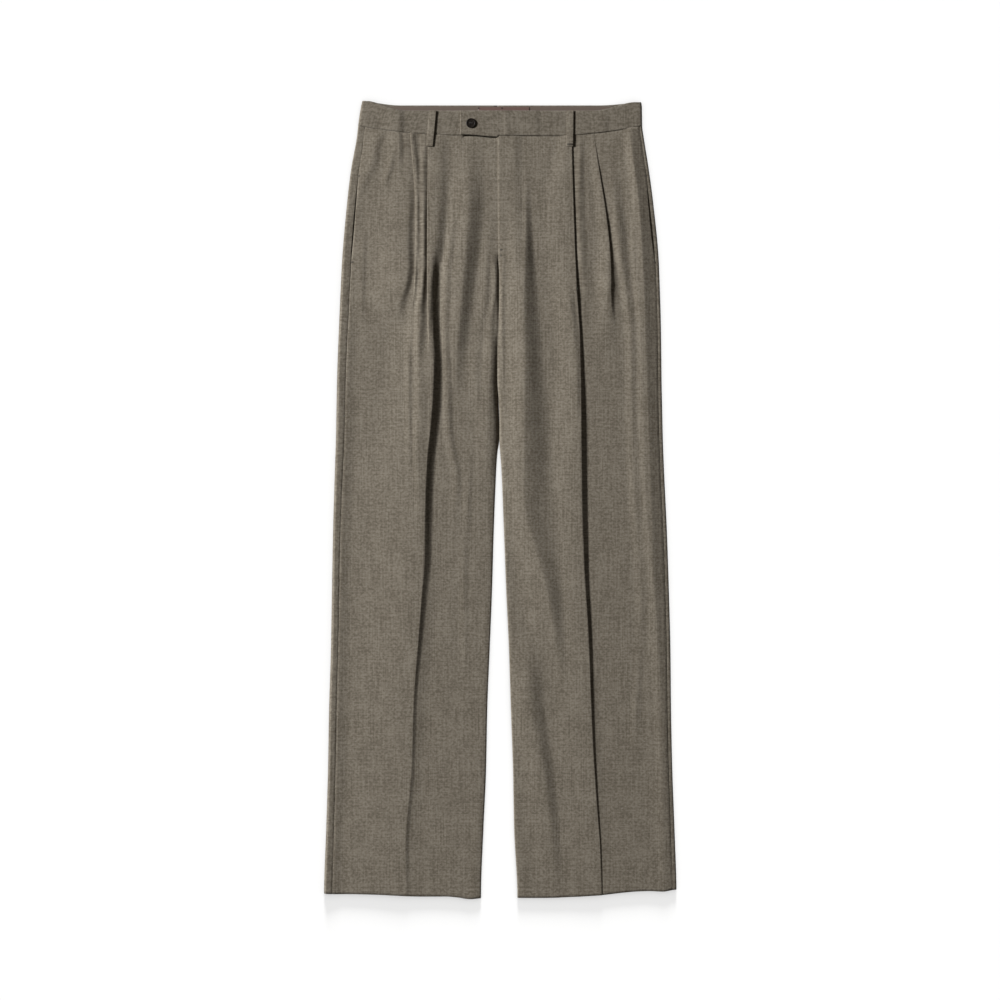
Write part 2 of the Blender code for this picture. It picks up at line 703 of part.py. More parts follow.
def button(made_of, collection, guides):
    """A turned four-hole button with a raised rim, lying on the tab."""
    radius = BUTTON_RADIUS
    top = BUTTON_THICKNESS
    outline = [
        (0.0, top - BUTTON_DISH),
        (radius - RIM_WIDTH - BUTTON_DISH, top - BUTTON_DISH),
        (radius - RIM_WIDTH, top),
        (radius - RIM_WIDTH / 3, top),
        (radius, top * 0.7),
        (radius, top * 0.3),
        (radius - RIM_WIDTH * 0.7, 0.0),
        (0.0, 0.0),
    ]
    mesh = bpy.data.meshes.new("button")
    points = [(across * MM, 0, up * MM) for across, up in outline]
    edges = [(first, first + 1) for first in range(len(points) - 1)]
    mesh.from_pydata(points, edges, [])
    piece = finish("button", mesh, made_of, collection)
    turn = piece.modifiers.new("turn", "SCREW")
    turn.steps = 32
    turn.render_steps = 32
    turn.use_merge_vertices = True
    turn.merge_threshold = 0.00001
    under = TAB_LEVEL + BAND_CLOTH / 2 + GAP
    x, y = BUTTON_CENTRE
    piece.location = (x * MM, (y - MIDDLE_HEIGHT) * MM, under * MM)
    holes = bmesh.new()
    half = HOLE_SPACING / 2 * MM
    size = HOLE_RADIUS * MM
    through = BUTTON_THICKNESS * 3 * MM
    for side_x in (-half, half):
        for side_y in (-half, half):
            made = bmesh.ops.create_cone(
                holes, cap_ends=True, segments=12, radius1=size, radius2=size, depth=through
            )
            bmesh.ops.translate(holes, vec=(side_x, side_y, 0), verts=made["verts"])
    cutter_mesh = bpy.data.meshes.new("button_holes")
    holes.to_mesh(cutter_mesh)
    holes.free()
    cutter = bpy.data.objects.new("button_holes", cutter_mesh)
    cutter.location = piece.location
    cutter.hide_render = True
    cutter.display_type = "WIRE"
    guides.objects.link(cutter)
    cut = piece.modifiers.new("holes", "BOOLEAN")
    cut.operation = "DIFFERENCE"
    cut.object = cutter
    return piece


def build():
    for old in list(bpy.data.objects):
        bpy.data.objects.remove(old, do_unlink=True)
    trousers = bpy.data.collections.new("pleated_dress_trousers")
    guides = bpy.data.collections.new("cutters")
    bpy.context.scene.collection.children.link(trousers)
    bpy.context.scene.collection.children.link(guides)

    for leg in (RIGHT, LEFT):
        for piece, grid, thickness in (
            ("front", front_grid(leg), CLOTH),
            ("back", back_grid(leg), CLOTH),
            ("waistband", band_grid(leg), BAND_CLOTH),
            ("pocket_facing", facing_grid(leg), FACING_CLOTH),
            ("belt_loop", loop_grid(leg, LOOP_MIDDLES[leg.name]), LOOP_CLOTH),
        ):
            name = f"{piece}_{leg.name}"
            sheet(name, grid, thickness, material(f"{name}_wool", WOOL, 0.9), trousers)

    lining_level = BAND_CLOTH + GAP + LINING_SIZE[2] / 2
    lining_height = BACK_TOP_HEIGHT - LINING_DROP - LINING_SIZE[1] / 2
    lining_cloth = material("lining_twill", LINING, 0.6)
    box("waistband_lining", LINING_SIZE, (0, lining_height, lining_level), lining_cloth, trousers)
    label_level = lining_level + LINING_SIZE[2] / 2 + GAP + LABEL_SIZE[2] / 2
    label_height = BACK_TOP_HEIGHT - LABEL_DROP - LABEL_SIZE[1] / 2
    label_cloth = material("label_cloth", LABEL, 0.7)
    box("label", LABEL_SIZE, (LABEL_MIDDLE, label_height, label_level), label_cloth, trousers)
    button(material("button_horn", HORN, 0.35), trousers, guides)


build()
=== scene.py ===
"""The looks of a pair of pleated dress trousers, laid flat on their back.

+X is the wearer's left, +Y points to the waist and +Z up. Sizes are millimetres until a mesh is
made. "Height" is measured up from the hem, and "out" from the middle line to the side of a leg.
"""

import json
import math
from collections import namedtuple

import bmesh
import bpy
import numpy as np
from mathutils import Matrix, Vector

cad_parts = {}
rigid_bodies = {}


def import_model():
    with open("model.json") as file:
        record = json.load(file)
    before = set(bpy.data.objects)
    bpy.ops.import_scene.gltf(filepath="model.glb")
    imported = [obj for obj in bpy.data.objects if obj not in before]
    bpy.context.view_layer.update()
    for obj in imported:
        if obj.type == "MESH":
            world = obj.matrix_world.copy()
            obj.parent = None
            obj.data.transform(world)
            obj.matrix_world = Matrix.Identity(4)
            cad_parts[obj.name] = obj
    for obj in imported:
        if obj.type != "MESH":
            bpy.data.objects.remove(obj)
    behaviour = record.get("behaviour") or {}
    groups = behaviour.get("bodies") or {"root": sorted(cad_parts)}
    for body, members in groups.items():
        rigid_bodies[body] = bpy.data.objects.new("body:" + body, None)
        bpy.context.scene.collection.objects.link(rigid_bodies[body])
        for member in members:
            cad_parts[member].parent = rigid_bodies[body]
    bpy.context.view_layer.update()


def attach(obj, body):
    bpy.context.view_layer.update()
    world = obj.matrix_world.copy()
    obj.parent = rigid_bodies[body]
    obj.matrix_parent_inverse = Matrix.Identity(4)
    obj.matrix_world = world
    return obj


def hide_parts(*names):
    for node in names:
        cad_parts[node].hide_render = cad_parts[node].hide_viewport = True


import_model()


# --- The two backs ---------------------------------------------------------------------------
# Each back is one panel of grey-brown worsted wool. It lies flat under the leg and wraps over the
# side, where it is seamed to the front. Below the crotch it rolls up to the inseam.

MM = 0.001
MIDDLE_HEIGHT = 549.43
CLOTH = 0.9
BACK_LEVEL = 0.55
FRONT_LEVEL = 4.6
HALF_GAP = (FRONT_LEVEL - BACK_LEVEL) / 2
MIDDLE_LINE = -3.4
WAIST_HALF = 195.0
FRONT_SEAM_HEIGHT = 1052.0
BACK_SEAM_HEIGHT = 1058.0
SIDE_SEAM_HEIGHT = 1064.0
SEAM_CURVE = 2.5
FLY_DIP = 3.0
FLY_DIP_RIGHT = 45.0
FLY_DIP_LEFT = 0.2
CROTCH_HEIGHT = 762.0
INSEAM_START = CROTCH_HEIGHT + 20.0
INSEAM_FADE = 140.0

# The turned edges: a rounded tip, and behind it a shoulder as wide as the roll.
SIDE_ROLL = 11.4
INSEAM_ROLL = 9.0
EDGE_TIP = 1.6
SHOULDER = 0.25
TURN_ANGLE = 84.0
TURN_STEPS = 9

# The groove of the side seam and the rim outside it.
SEAM_GROOVE = 2.4
DIP_START = 1.0
RIM_EDGE = 1.6
RIM_FLAT = 0.5
RIM_SLOPE = 27.0

# The unevenness of laid cloth: waves of chance widths and slants.
RIPPLE_WAVES = 9
RIPPLE_WIDTHS = (4, 14)
RIPPLE_SLANT = 60
RIPPLE_SIZE = 0.06
RIPPLE_EDGE = 14.0

# The back's own grid, from the side seam round to the inseam. Its top is tucked under the band.
BACK_ROWS = 260
WRAP_STEPS = 12
ROLL_STEPS = 3
FLAT_STEPS = 18
INNER_STEPS = 5
BACK_TUCK = 1.5

# Over this part of the flat stretch the seam's height goes from the front's to the back's own.
SEAM_CHANGE = 1 / 3

# A point's height and its place across depend on each other, and settle in a few rounds.
SETTLE_ROUNDS = 3


def table(row, *values):
    """Rows with named columns."""
    return [row(*value) for value in values]


# The silhouette: the side and the inseam of each leg at a height.
Outline = namedtuple("Outline", "height right_side right_inner left_inner left_side")
OUTLINE = table(
    Outline,
    (0, 243, 26.2, 24, 243.8),
    (95, 240, 22.8, 19.5, 241),
    (175, 237.5, 19.2, 18, 238),
    (260, 236, 17.5, 15, 236.2),
    (340, 233.5, 14.3, 12.5, 235.4),
    (425, 232, 10.9, 8.5, 233.2),
    (505, 230.5, 8.6, 5.5, 230.5),
    (590, 228, 5.2, 2, 226.5),
    (636, 226.5, 2.7, -0.9, 224.8),
    (658, 226.1, 3, -0.8, 224.3),
    (686, 225.6, 4.2, -1.9, 223.7),
    (715, 225, 5, -3.9, 223.1),
    (762, 223.4, 4.2, -3.2, 222.6),
    (795, 222, 2.4, -1.5, 222.1),
    (831, 220.4, 1.7, -0.9, 221),
    (858, 219.2, 1.6, -0.9, 220.1),
    (880, 218, 3, -2, 219.2),
    (960, 211, 3.4, -2.6, 211.4),
    (1005, 205.5, 3.6, -3.2, 205.4),
    (1050, 197.5, 3.6, -3.2, 198.3),
    (1064, 196, 3.6, -3.2, 196.4),
    (1092, 191.8, 3.6, -3.2, 196),
    (1100, 190, 3.6, -3.2, 195),
)

# How far in from the side the edge of the back and of the front lie. They part at the pocket mouth.
# The dip is how far the cloth sinks into the seam, and the rise how far the rim stands proud.
SideSeam = namedtuple("SideSeam", "height back front dip rise")
RIGHT_SIDE_SEAM = table(
    SideSeam,
    (0, 11, 11.3, 0.30, 2.2),
    (120, 10.5, 10.8, 0.35, 2.2),
    (272, 10.1, 10.4, 0.40, 2.4),
    (410, 9.8, 10.1, 0.40, 2.4),
    (548, 10.5, 10.8, 0.40, 2.4),
    (686, 11.8, 12.1, 0.40, 2.2),
    (868, 12.6, 12.9, 0.35, 1.7),
    (886, 12, 13.2, 0.35, 1.5),
    (914, 11.6, 13.6, 0.35, 1.1),
    (960, 11.2, 12.8, 0.35, 0.7),
    (990, 11.3, 12, 0.30, 0.4),
    (1005, 11, 11.3, 0.30, 0.2),
    (1064, 9.4, 9.7, 0.20, 0),
)
LEFT_SIDE_SEAM = table(
    SideSeam,
    (0, 5.6, 5.9, 0.3, 0),
    (640, 5.4, 5.7, 0.3, 0),
    (868, 4.8, 5.1, 0.3, 0),
    (886, 4.7, 6.4, 0.2, 0),
    (914, 4.6, 7.8, 0.1, 0),
    (960, 4.6, 7.2, 0.1, 0),
    (985, 4.7, 5.6, 0.2, 0),
    (1005, 4.8, 5.1, 0.3, 0),
    (1064, 4.2, 4.5, 0.3, 0),
)

# The height of each leg's hem at a distance out from the middle line.
Hem = namedtuple("Hem", "out right left")
HEM = table(
    Hem,
    (24, -1.8, -1.4),
    (41, -3.1, -1.4),
    (58, -0.8, -1.4),
    (75, 0.6, -1.1),
    (91, 0.5, -0.3),
    (108, 0.5, 0.4),
    (124, 0.9, 1.4),
    (141, 1.7, 2.6),
    (157, 2.5, 4.4),
    (174, 3.2, 6.3),
    (190, 3.6, 7.6),
    (207, 3.9, 8.1),
    (224, 3.9, 7.4),
    (243, 4.4, 10),
)

# The height of the front waist seam at a distance out from the middle line.
WaistSeam = namedtuple("WaistSeam", "out right left")
FRONT_WAIST_SEAM = table(
    WaistSeam,
    (0, 1052, 1050.9),
    (50, 1052.1, 1050.6),
    (59, 1051.2, 1050.4),
    (83, 1051.9, 1050.4),
    (104, 1053.4, 1051.6),
    (131, 1055.4, 1054.2),
    (150, 1057.6, 1056.5),
    (175, 1060.8, 1060.3),
    (197.5, 1064.4, 1064.4),
)

Leg = namedtuple("Leg", "name sign side inner seam")
RIGHT = Leg("right", -1, "right_side", "right_inner", RIGHT_SIDE_SEAM)
LEFT = Leg("left", 1, "left_side", "left_inner", LEFT_SIDE_SEAM)


def ease(part):
    """From 0 to 1, with a smooth start and end."""
    part = np.clip(part, 0.0, 1.0)
    return part * part * (3 - 2 * part)


def at(rows, height):
    """The row of a table at each of an array of heights, by cubic curves that don't overshoot."""
    values = np.array(rows, float)
    stops = values[:, 0]
    height = np.clip(np.asarray(height, float), stops[0], stops[-1])
    steps = np.diff(stops)[:, None]
    rises = np.diff(values, axis=0) / steps
    slopes = np.zeros_like(values)
    same_way = rises[:-1] * rises[1:] > 0
    total = np.where(same_way, rises[:-1] + rises[1:], 1.0)
    slopes[1:-1] = np.where(same_way, 2 * rises[:-1] * rises[1:] / total, 0.0)
    last = np.clip(np.searchsorted(stops, height, "right"), 1, len(rows) - 1)
    step = steps[last - 1]
    part = ((height - stops[last - 1]) / step[..., 0])[..., None]
    found = (
        values[last - 1] * (1 + 2 * part) * (1 - part) ** 2
        + slopes[last - 1] * step * part * (1 - part) ** 2
        + values[last] * part**2 * (3 - 2 * part)
        + slopes[last] * step * part**2 * (part - 1)
    )
    return type(rows[0])(*np.moveaxis(found, -1, 0))


def side_of(leg, height):
    """Where the middle of the cloth lies at the side of the silhouette."""
    return getattr(at(OUTLINE, height), leg.side) - CLOTH / 2


def inseam_share(height):
    """0 above the crotch, where front and back lie flat, and 1 down the leg, where they roll."""
    return ease((INSEAM_START - height) / INSEAM_FADE)


def inner_of(leg, height):
    """Where the two legs meet, or the inseam below the crotch."""
    return getattr(at(OUTLINE, height), leg.inner) + CLOTH / 2 * inseam_share(height)


def hem(leg, x):
    """Height of the hem at a place across."""
    return getattr(at(HEM, np.abs(x)), leg.name)


def back_waist_seam(x):
    """Height of the back's waist seam, which curves up to the sides."""
    rise = (np.abs(x) / WAIST_HALF) ** SEAM_CURVE
    return BACK_SEAM_HEIGHT + (SIDE_SEAM_HEIGHT - BACK_SEAM_HEIGHT) * rise


def front_waist_seam(x):
    """Height of the front's waist seam, with the small dip where the fly ends."""
    row = at(FRONT_WAIST_SEAM, np.abs(x))
    seam = np.where(x < MIDDLE_LINE, row.right, row.left)
    reach = np.where(x < MIDDLE_LINE, FLY_DIP_RIGHT, FLY_DIP_LEFT)
    return seam - FLY_DIP * ease(1 - np.abs(x - MIDDLE_LINE) / reach)


def turned_edge(tip):
    """Distances in from a turned edge, closer together towards its tip."""
    return tip * (1 - np.cos(np.radians(np.linspace(TURN_ANGLE, 0, TURN_STEPS))))


def edge_drop(inwards, width, half_height, tip=EDGE_TIP):
    """How far the cloth lies from its full level at a distance in from the silhouette."""
    slope = np.clip(1 - inwards / width, 0.0, None)
    turn = np.clip(1 - inwards / tip, 0.0, 1.0)
    return SHOULDER * slope**2 + (half_height - SHOULDER) * (1 - np.sqrt(1 - turn * turn))


def seam_dip(leg, inwards, height):
    """The cloth sinks into the side seam, and stands a little proud along the rim outside it."""
    seam = at(leg.seam, height)
    beyond = inwards - (seam.back + seam.front) / 2
    rim = ease(inwards / RIM_EDGE) * (1 - ease((inwards - RIM_FLAT) / RIM_SLOPE))
    return seam.dip * (1 - ease(np.abs(beyond) / SEAM_GROOVE)) - seam.rise * rim


def ripple(across, height, size, seed):
    """Small unevenness of laid cloth, longer down the cloth than across it."""
    chance = np.random.default_rng(seed)
    level = np.zeros(np.broadcast(across, height).shape)
    for _ in range(RIPPLE_WAVES):
        turn = chance.uniform(0, 2 * math.pi)
        width = chance.uniform(*RIPPLE_WIDTHS)
        slant = chance.uniform(-RIPPLE_SLANT, RIPPLE_SLANT)
        level += np.sin(across / width + height / slant + turn)
    return size * level / math.sqrt(RIPPLE_WAVES)


def add_piece(name, mesh):
    piece = bpy.data.objects.new(name, mesh)
    bpy.context.scene.collection.objects.link(piece)
    return piece


def cloth(name, points, flat, material, thickness=CLOTH):
    """A sheet of cloth through a grid of points in millimetres, made a wall of a thickness.

    flat holds the place of each point in the flat cloth, which its weave follows.
    """
    rows, columns = points.shape[:2]
    placed = (points - np.array([0.0, MIDDLE_HEIGHT, 0.0])) * MM
    corner = (np.arange(rows - 1)[:, None] * columns + np.arange(columns - 1)).ravel()
    faces = np.stack([corner, corner + 1, corner + columns + 1, corner + columns], 1)
    mesh = bpy.data.meshes.new(name)
    mesh.from_pydata(placed.reshape(-1, 3), [], faces)
    grain = mesh.uv_layers.new(name="grain")
    index = np.zeros(len(mesh.loops), int)
    mesh.loops.foreach_get("vertex_index", index)
    grain.uv.foreach_set("vector", (flat.reshape(-1, 2)[index] * MM).ravel())
    mesh.shade_smooth()
    mesh.materials.append(material)
    piece = add_piece(name, mesh)
    wall = piece.modifiers.new("wall", "SOLIDIFY")
    wall.thickness = thickness * MM
    wall.offset = 0.0
    return piece


class Wire:
    """A socket of a material's nodes. Sums and products of wires add Math nodes."""

    def __init__(self, tree, socket=None):
        self.tree = tree
        self.socket = socket

    def node(self, kind, settings, sockets, output=0):
        """A new node's output. Its settings are set first, then its sockets, by name or number."""
        made = self.tree.nodes.new(kind)
        for setting, value in settings.items():
            setattr(made, setting, value)
        for place, value in sockets.items():
            socket = made.inputs[place]
            if isinstance(value, Wire):
                self.tree.links.new(value.socket, socket)
            else:
                socket.default_value = value
        return Wire(self.tree, made.outputs[output])

    def math(self, operation, first, second=0.0):
        return self.node("ShaderNodeMath", {"operation": operation}, {0: first, 1: second})

    def __add__(self, other):
        return self.math("ADD", self, other)

    def __sub__(self, other):
        return self.math("SUBTRACT", self, other)

    def __rsub__(self, other):
        return self.math("SUBTRACT", other, self)

    def __mul__(self, other):
        return self.math("MULTIPLY", self, other)

    __radd__ = __add__
    __rmul__ = __mul__

    def wave(self):
        return self.math("SINE", self)

    def ramp(self, low, high):
        """0 at the low value and 1 at the high one, smooth in between."""
        return self.node(
            "ShaderNodeMapRange",
            {"interpolation_type": "SMOOTHSTEP"},
            {"Value": self, "From Min": low, "From Max": high},
        )

    def mix(self, share, first, second):
        """A colour that goes from the first to the second by a share. Each may be a wire."""
        sockets = {0: share, 6: first, 7: second}
        for place in (6, 7):
            if not isinstance(sockets[place], Wire):
                sockets[place] = (*sockets[place], 1.0)
        return self.node("ShaderNodeMix", {"data_type": "RGBA", "blend_type": "MIX"}, sockets, 2)

    def stretched_noise(self, place, scale, detail, shift=(0.0, 0.0, 0.0)):
        """Noise with its own number of steps to the metre each way."""
        mapped = {"Vector": place, "Location": shift, "Scale": scale}
        mapped = self.node("ShaderNodeMapping", {"vector_type": "POINT"}, mapped)
        noise = {"Vector": mapped, "Scale": 1.0, "Detail": detail}
        return self.node("ShaderNodeTexNoise", {}, noise)

    def bump(self, height, strength, depth):
        """A bump of a depth in metres."""
        sockets = {"Height": height, "Strength": strength, "Distance": depth}
        return self.node("ShaderNodeBump", {}, sockets)


def start_material(name, **constants):
    """A new material's shader, with values that are the same all over it, and its wires' start."""
    made = bpy.data.materials.new(name)
    made.use_nodes = True
    shader = made.node_tree.nodes["Principled BSDF"]
    for socket, value in constants.items():
        shader.inputs[socket.replace("_", " ")].default_value = value
    return made, shader, Wire(made.node_tree)


def finish_material(start, shader, **sockets):
    for socket, wire in sockets.items():
        start.tree.links.new(wire.socket, shader.inputs[socket.replace("_", " ")])


def grain_of(start):
    """The place in the flat cloth, with how far it lies across and along the grain."""
    grain = start.node("ShaderNodeUVMap", {"uv_map": "grain"}, {})
    across = start.node("ShaderNodeSeparateXYZ", {}, {"Vector": grain})
    along = start.node("ShaderNodeSeparateXYZ", {}, {"Vector": grain}, 1)
    return grain, across, along


WOOL_DARK = (0.1150, 0.0965, 0.0710)
WOOL_LIGHT = (0.2136, 0.1870, 0.1480)
WOOL_FLECK = (0.34, 0.31, 0.26)
THREAD_SPACING = 0.00062


def wool(name, seed, depth=1.0):
    """Fine worsted: two close shades of yarn, thick places in the weft and a few light flecks."""
    # A depth under 1 darkens both yarn shades alike, which is painted shade.
    dark = tuple(value * depth for value in WOOL_DARK)
    light = tuple(value * depth for value in WOOL_LIGHT)
    made, shader, start = start_material(
        name, Sheen_Weight=0.12, Sheen_Roughness=0.55, Specular_IOR_Level=0.25
    )
    grain, across, along = grain_of(start)

    def fibres(steps_across, steps_along, detail, shift):
        """Noise stretched along the yarn."""
        shift = (shift, seed * 3.7, seed)
        return start.stretched_noise(grain, (steps_across, steps_along, 1), detail, shift)

    heather = fibres(290, 330, 1.0, 0.0)
    fine = fibres(700, 1300, 1.0, 2.2)
    slubs = fibres(28, 560, 1.0, 7.3)
    knots = fibres(95, 620, 1.0, 17.7)
    streaks = fibres(600, 14, 1.0, 3.1)
    blotches = fibres(45, 40, 2.0, 11.9)
    flecks = fibres(260, 560, 0.0, 5.7).ramp(0.74, 0.84)
    coarse = slubs * 0.9 + knots * 0.6 + streaks * 1.2 + blotches * 0.8
    yarn = start.mix(heather * 2.2 + fine * 0.9 + coarse - 2.8, dark, light)
    colour = start.mix(flecks * 0.3, yarn, WOOL_FLECK)
    turns = 2 * math.pi / THREAD_SPACING
    weave = (across * turns).wave() * (along * turns).wave()
    height = weave * 0.35 + heather + fine * 0.8 + slubs * 0.8
    bump = start.bump(height, 0.5, 0.00022)
    finish_material(start, shader, Base_Color=colour, Roughness=heather * 0.2 + 0.78, Normal=bump)
    return made


def back_columns():
    """The stretch of cloth that each column of the back lies on, and its place there."""
    turn = turned_edge(EDGE_TIP)
    columns = [("top", step / WRAP_STEPS) for step in range(WRAP_STEPS)]
    columns += [("turn", place) for place in turn]
    columns += [("under", place) for place in turn[-2::-1]]
    for step in range(ROLL_STEPS):
        columns.append(("under", EDGE_TIP + (SIDE_ROLL - EDGE_TIP) * step / ROLL_STEPS))
    columns += [("flat", step / FLAT_STEPS) for step in range(FLAT_STEPS)]
    for step in range(INNER_STEPS):
        part = step / INNER_STEPS
        columns.append(("inner", INSEAM_ROLL * (1 - part) + EDGE_TIP * part))
    return columns + [("inner", place) for place in turn[:-1]]


def back_grid(leg, columns, height):
    """Places across, levels and shares of the back's own waist seam, for heights of every column."""
    out = np.zeros((len(height), len(columns)))
    level = np.zeros_like(out)
    share = np.zeros_like(out)
    for index, (kind, place) in enumerate(columns):
        tall = height[:, index]
        side = side_of(leg, tall)
        inner = inner_of(leg, tall)
        if kind in ("top", "turn"):
            edge = at(leg.seam, tall).back
            inwards = edge * (1 - place) + EDGE_TIP * place if kind == "top" else place + 0 * tall
            dip = seam_dip(leg, inwards, tall) * ease((inwards - DIP_START) / EDGE_TIP)
            out[:, index] = side - inwards
            level[:, index] = FRONT_LEVEL - edge_drop(inwards, SIDE_ROLL, HALF_GAP) - dip
        elif kind == "under":
            out[:, index] = side - place
            level[:, index] = BACK_LEVEL + edge_drop(place, SIDE_ROLL, HALF_GAP)
        elif kind == "flat":
            out[:, index] = (side - SIDE_ROLL) * (1 - place) + (inner + INSEAM_ROLL) * place
            level[:, index] = BACK_LEVEL
            share[:, index] = min(place / SEAM_CHANGE, 1.0)
        else:
            drop = edge_drop(place, INSEAM_ROLL, HALF_GAP)
            out[:, index] = inner + place
            level[:, index] = BACK_LEVEL + inseam_share(tall) * drop
            share[:, index] = 1.0
    return out, level, share


def back_points(leg):
    """The back from the hem to the waist seam, as rows of points and their places in flat cloth."""
    columns = back_columns()
    nominal = np.linspace(0, FRONT_SEAM_HEIGHT, BACK_ROWS)[:, None]
    steps = nominal / FRONT_SEAM_HEIGHT
    height = np.repeat(nominal, len(columns), 1)
    for _ in range(SETTLE_ROUNDS):
        out, level, share = back_grid(leg, columns, height)
        x = leg.sign * out
        high = front_waist_seam(x) * (1 - share) + back_waist_seam(x) * share
        low = hem(leg, x)
        height = low + steps * (high + BACK_TUCK - low)
    uneven = level + ripple(out, height, RIPPLE_SIZE, seed=3)
    level = np.where(out > side_of(leg, height) - RIPPLE_EDGE, uneven, level)
    level = np.maximum(level, BACK_LEVEL)
    points = np.stack([x, height, level], -1)
    step = np.linalg.norm(np.diff(points, axis=1), axis=2)
    along = np.concatenate([np.zeros((BACK_ROWS, 1)), np.cumsum(step, 1)], 1)
    return points, np.stack([along, height], -1)


for leg in (RIGHT, LEFT):
    points, flat = back_points(leg)
    # The back's wool is painted a tenth darker, as shade.
    material = wool(f"wool_back_painted_shade_{leg.name}", seed=1.3, depth=0.9)
    back = cloth(f"back_panel_{leg.name}", points, flat, material)
    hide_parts(f"back_{leg.name}")
    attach(back, "root")
    width, area = (0.239, 0.245) if leg.sign < 0 else (0.234, 0.242)


# --- The pocket facings ----------------------------------------------------------------------
# Each side pocket has a strip of the same wool behind its mouth, in the side seam. It lies under
# the edges of the back and the front, and shows where the mouth gapes.

FACING_LOW = 862.0
FACING_HIGH = 1024.0
FACING_REACH = 12.0
FACING_DEPTH = 1.25
FACING_CLOTH = 0.7
FACING_ROWS = 60
FACING_COLUMNS = 20

for leg in (RIGHT, LEFT):
    heights = np.linspace(FACING_LOW, FACING_HIGH, FACING_ROWS)[:, None]
    reach = at(leg.seam, heights).front + FACING_REACH - EDGE_TIP
    inwards = EDGE_TIP + reach * np.linspace(0, 1, FACING_COLUMNS)
    level = FRONT_LEVEL - edge_drop(inwards, SIDE_ROLL, HALF_GAP) - FACING_DEPTH
    x = leg.sign * (side_of(leg, heights) - inwards)
    points = np.stack(np.broadcast_arrays(x, heights, level), -1)
    flat = np.stack(np.broadcast_arrays(inwards, heights), -1)
    material = wool(f"wool_facing_{leg.name}", seed=2.9)
    facing = cloth(f"pocket_lining_{leg.name}", points, flat, material, FACING_CLOTH)
    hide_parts(f"pocket_facing_{leg.name}")
    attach(facing, "root")
    width = 0.026 if leg.sign < 0 else 0.017


# --- The two fronts --------------------------------------------------------------------------
# Each front is a panel of the same wool with two pleats that open to the side and a pressed crease
# down the leg. The wearer's left front lies over the right one along the fly.

# How far the right front reaches under the left one, and how the left one rises over it.
UNDERLAP = 12.0
UNDERLAP_FADE = 12.0
CROTCH_LAP = 2.5
CROTCH_LAP_START = 610.0
CROTCH_LAP_FADE = 24.0
FLY_END_HEIGHT = 890.0
FLY_LIFT = 1.4
FLY_RISE_HEIGHT = 38.0
FLY_RISE_START = FLY_END_HEIGHT - 45.0
FLY_FLAT_WIDTH = 18.0
FLY_RISE_WIDTH = 14.0

# How the cloth sinks into the waist seam, and under the tab's edge.
TOP_TUCK = 3.0
SEAM_LEVEL = 3.2
SEAM_SINK = 2.6
SEAM_SINK_BELOW = 0.9
SEAM_SINK_HIP = 0.6
HIP_START = 125.0
HIP_FADE = 15.0
SUNK_SHARE = 0.05
TAB_GAP = 3.4
TAB_GAP_LEVEL = 1.9
TAB_GAP_OUTER = -52.0
TAB_GAP_FADE = 2.0
FLY_SEAM_RISE = 2.7
FLY_SEAM_REACH = 34.0

# A pleat's fold takes up a window of flat cloth. Its first arc ends and its second starts at these
# parts of it. From the slope angle on, it is drawn less as a slope and more as a fold.
PLEAT_WINDOW = 5.0
PLEAT_PULL = 12.0
SLOPE_ANGLE = 10.0
SLOPE_TO_FOLD = 25.0
ARC_END = 0.4
ARC_START = 0.6
TUCK_ANGLE = 60.0

# The front's own grid. Closeness says how much closer together its columns lie at a fold or edge.
FRONT_ROWS = 270
SPARE_ROWS = 6
FRONT_COLUMNS = 178
COLUMN_TRIES = 700
TOP_MARGIN = 20.0
PLEAT_CLOSENESS = 9.0
PLEAT_CLOSE_ANGLE = 40.0
CREASE_CLOSENESS = 38.0
FOLD_CLOSENESS = 22.0
HIGH_FOLD = 1.5
INNER_CLOSENESS = 6.0
INNER_CLOSE_WIDTH = 2.5
SIDE_CLOSENESS = 1.5
SIDE_CLOSE_WIDTH = 6.0

# The cloth's unevenness starts this far in from the side and from the inner edge.
CALM_SIDE = 14.0
CALM_INNER = 8.0
CALM_FADE = 20.0

# A pleat's visible edge faces out. From there the cloth turns down by an angle on a radius, runs
# straight, and turns back: 180 degrees lays it in three, less makes a step, 0 leaves it flat.
# Past the fold the top layer sinks to its panel's level over the fade.
Pleat = namedtuple("Pleat", "height edge angle radius straight fade")
PLEATS = {"right": [], "left": []}


def pleat(side, *rows):
    PLEATS[side].append(table(Pleat, *rows))


# The outer pleat of the right front.
pleat(
    "right",
    (0, 176, 0, 4, 2, 12),
    (600, 140, 0, 4, 2, 12),
    (770, 128, 0, 4, 2, 12),
    (800, 121.5, 8, 3, 1, 9),
    (822, 118.8, 14, 1.5, 0.8, 7),
    (842, 117.4, 50, 0.8, 0.8, 6),
    (862, 116.8, 120, 0.5, 1, 5.5),
    (907, 116.5, 165, 0.45, 2, 5.5),
    (962, 116.6, 165, 0.45, 2, 5.5),
    (983, 117.3, 165, 0.45, 2, 8),
    (1010, 119.4, 150, 0.45, 1.6, 8),
    (1058, 123, 120, 0.40, 1.2, 9),
)
# The inner pleat of the right front.
pleat(
    "right",
    (0, 150, 0, 4, 2, 10),
    (600, 118, 0, 4, 2, 10),
    (735, 97, 0, 4, 2, 10),
    (765, 97.4, 22, 2, 0.6, 9),
    (790, 98.2, 70, 0.8, 0.8, 8),
    (815, 99, 135, 0.6, 1.2, 8),
    (848, 99.6, 165, 0.55, 2, 9),
    (880, 99.6, 170, 0.5, 3, 16),
    (914, 99.4, 175, 0.5, 4, 30),
    (1005, 98.8, 172, 0.45, 4, 30),
    (1034, 98.6, 168, 0.40, 2.4, 30),
    (1058, 98.4, 165, 0.36, 1.6, 30),
)
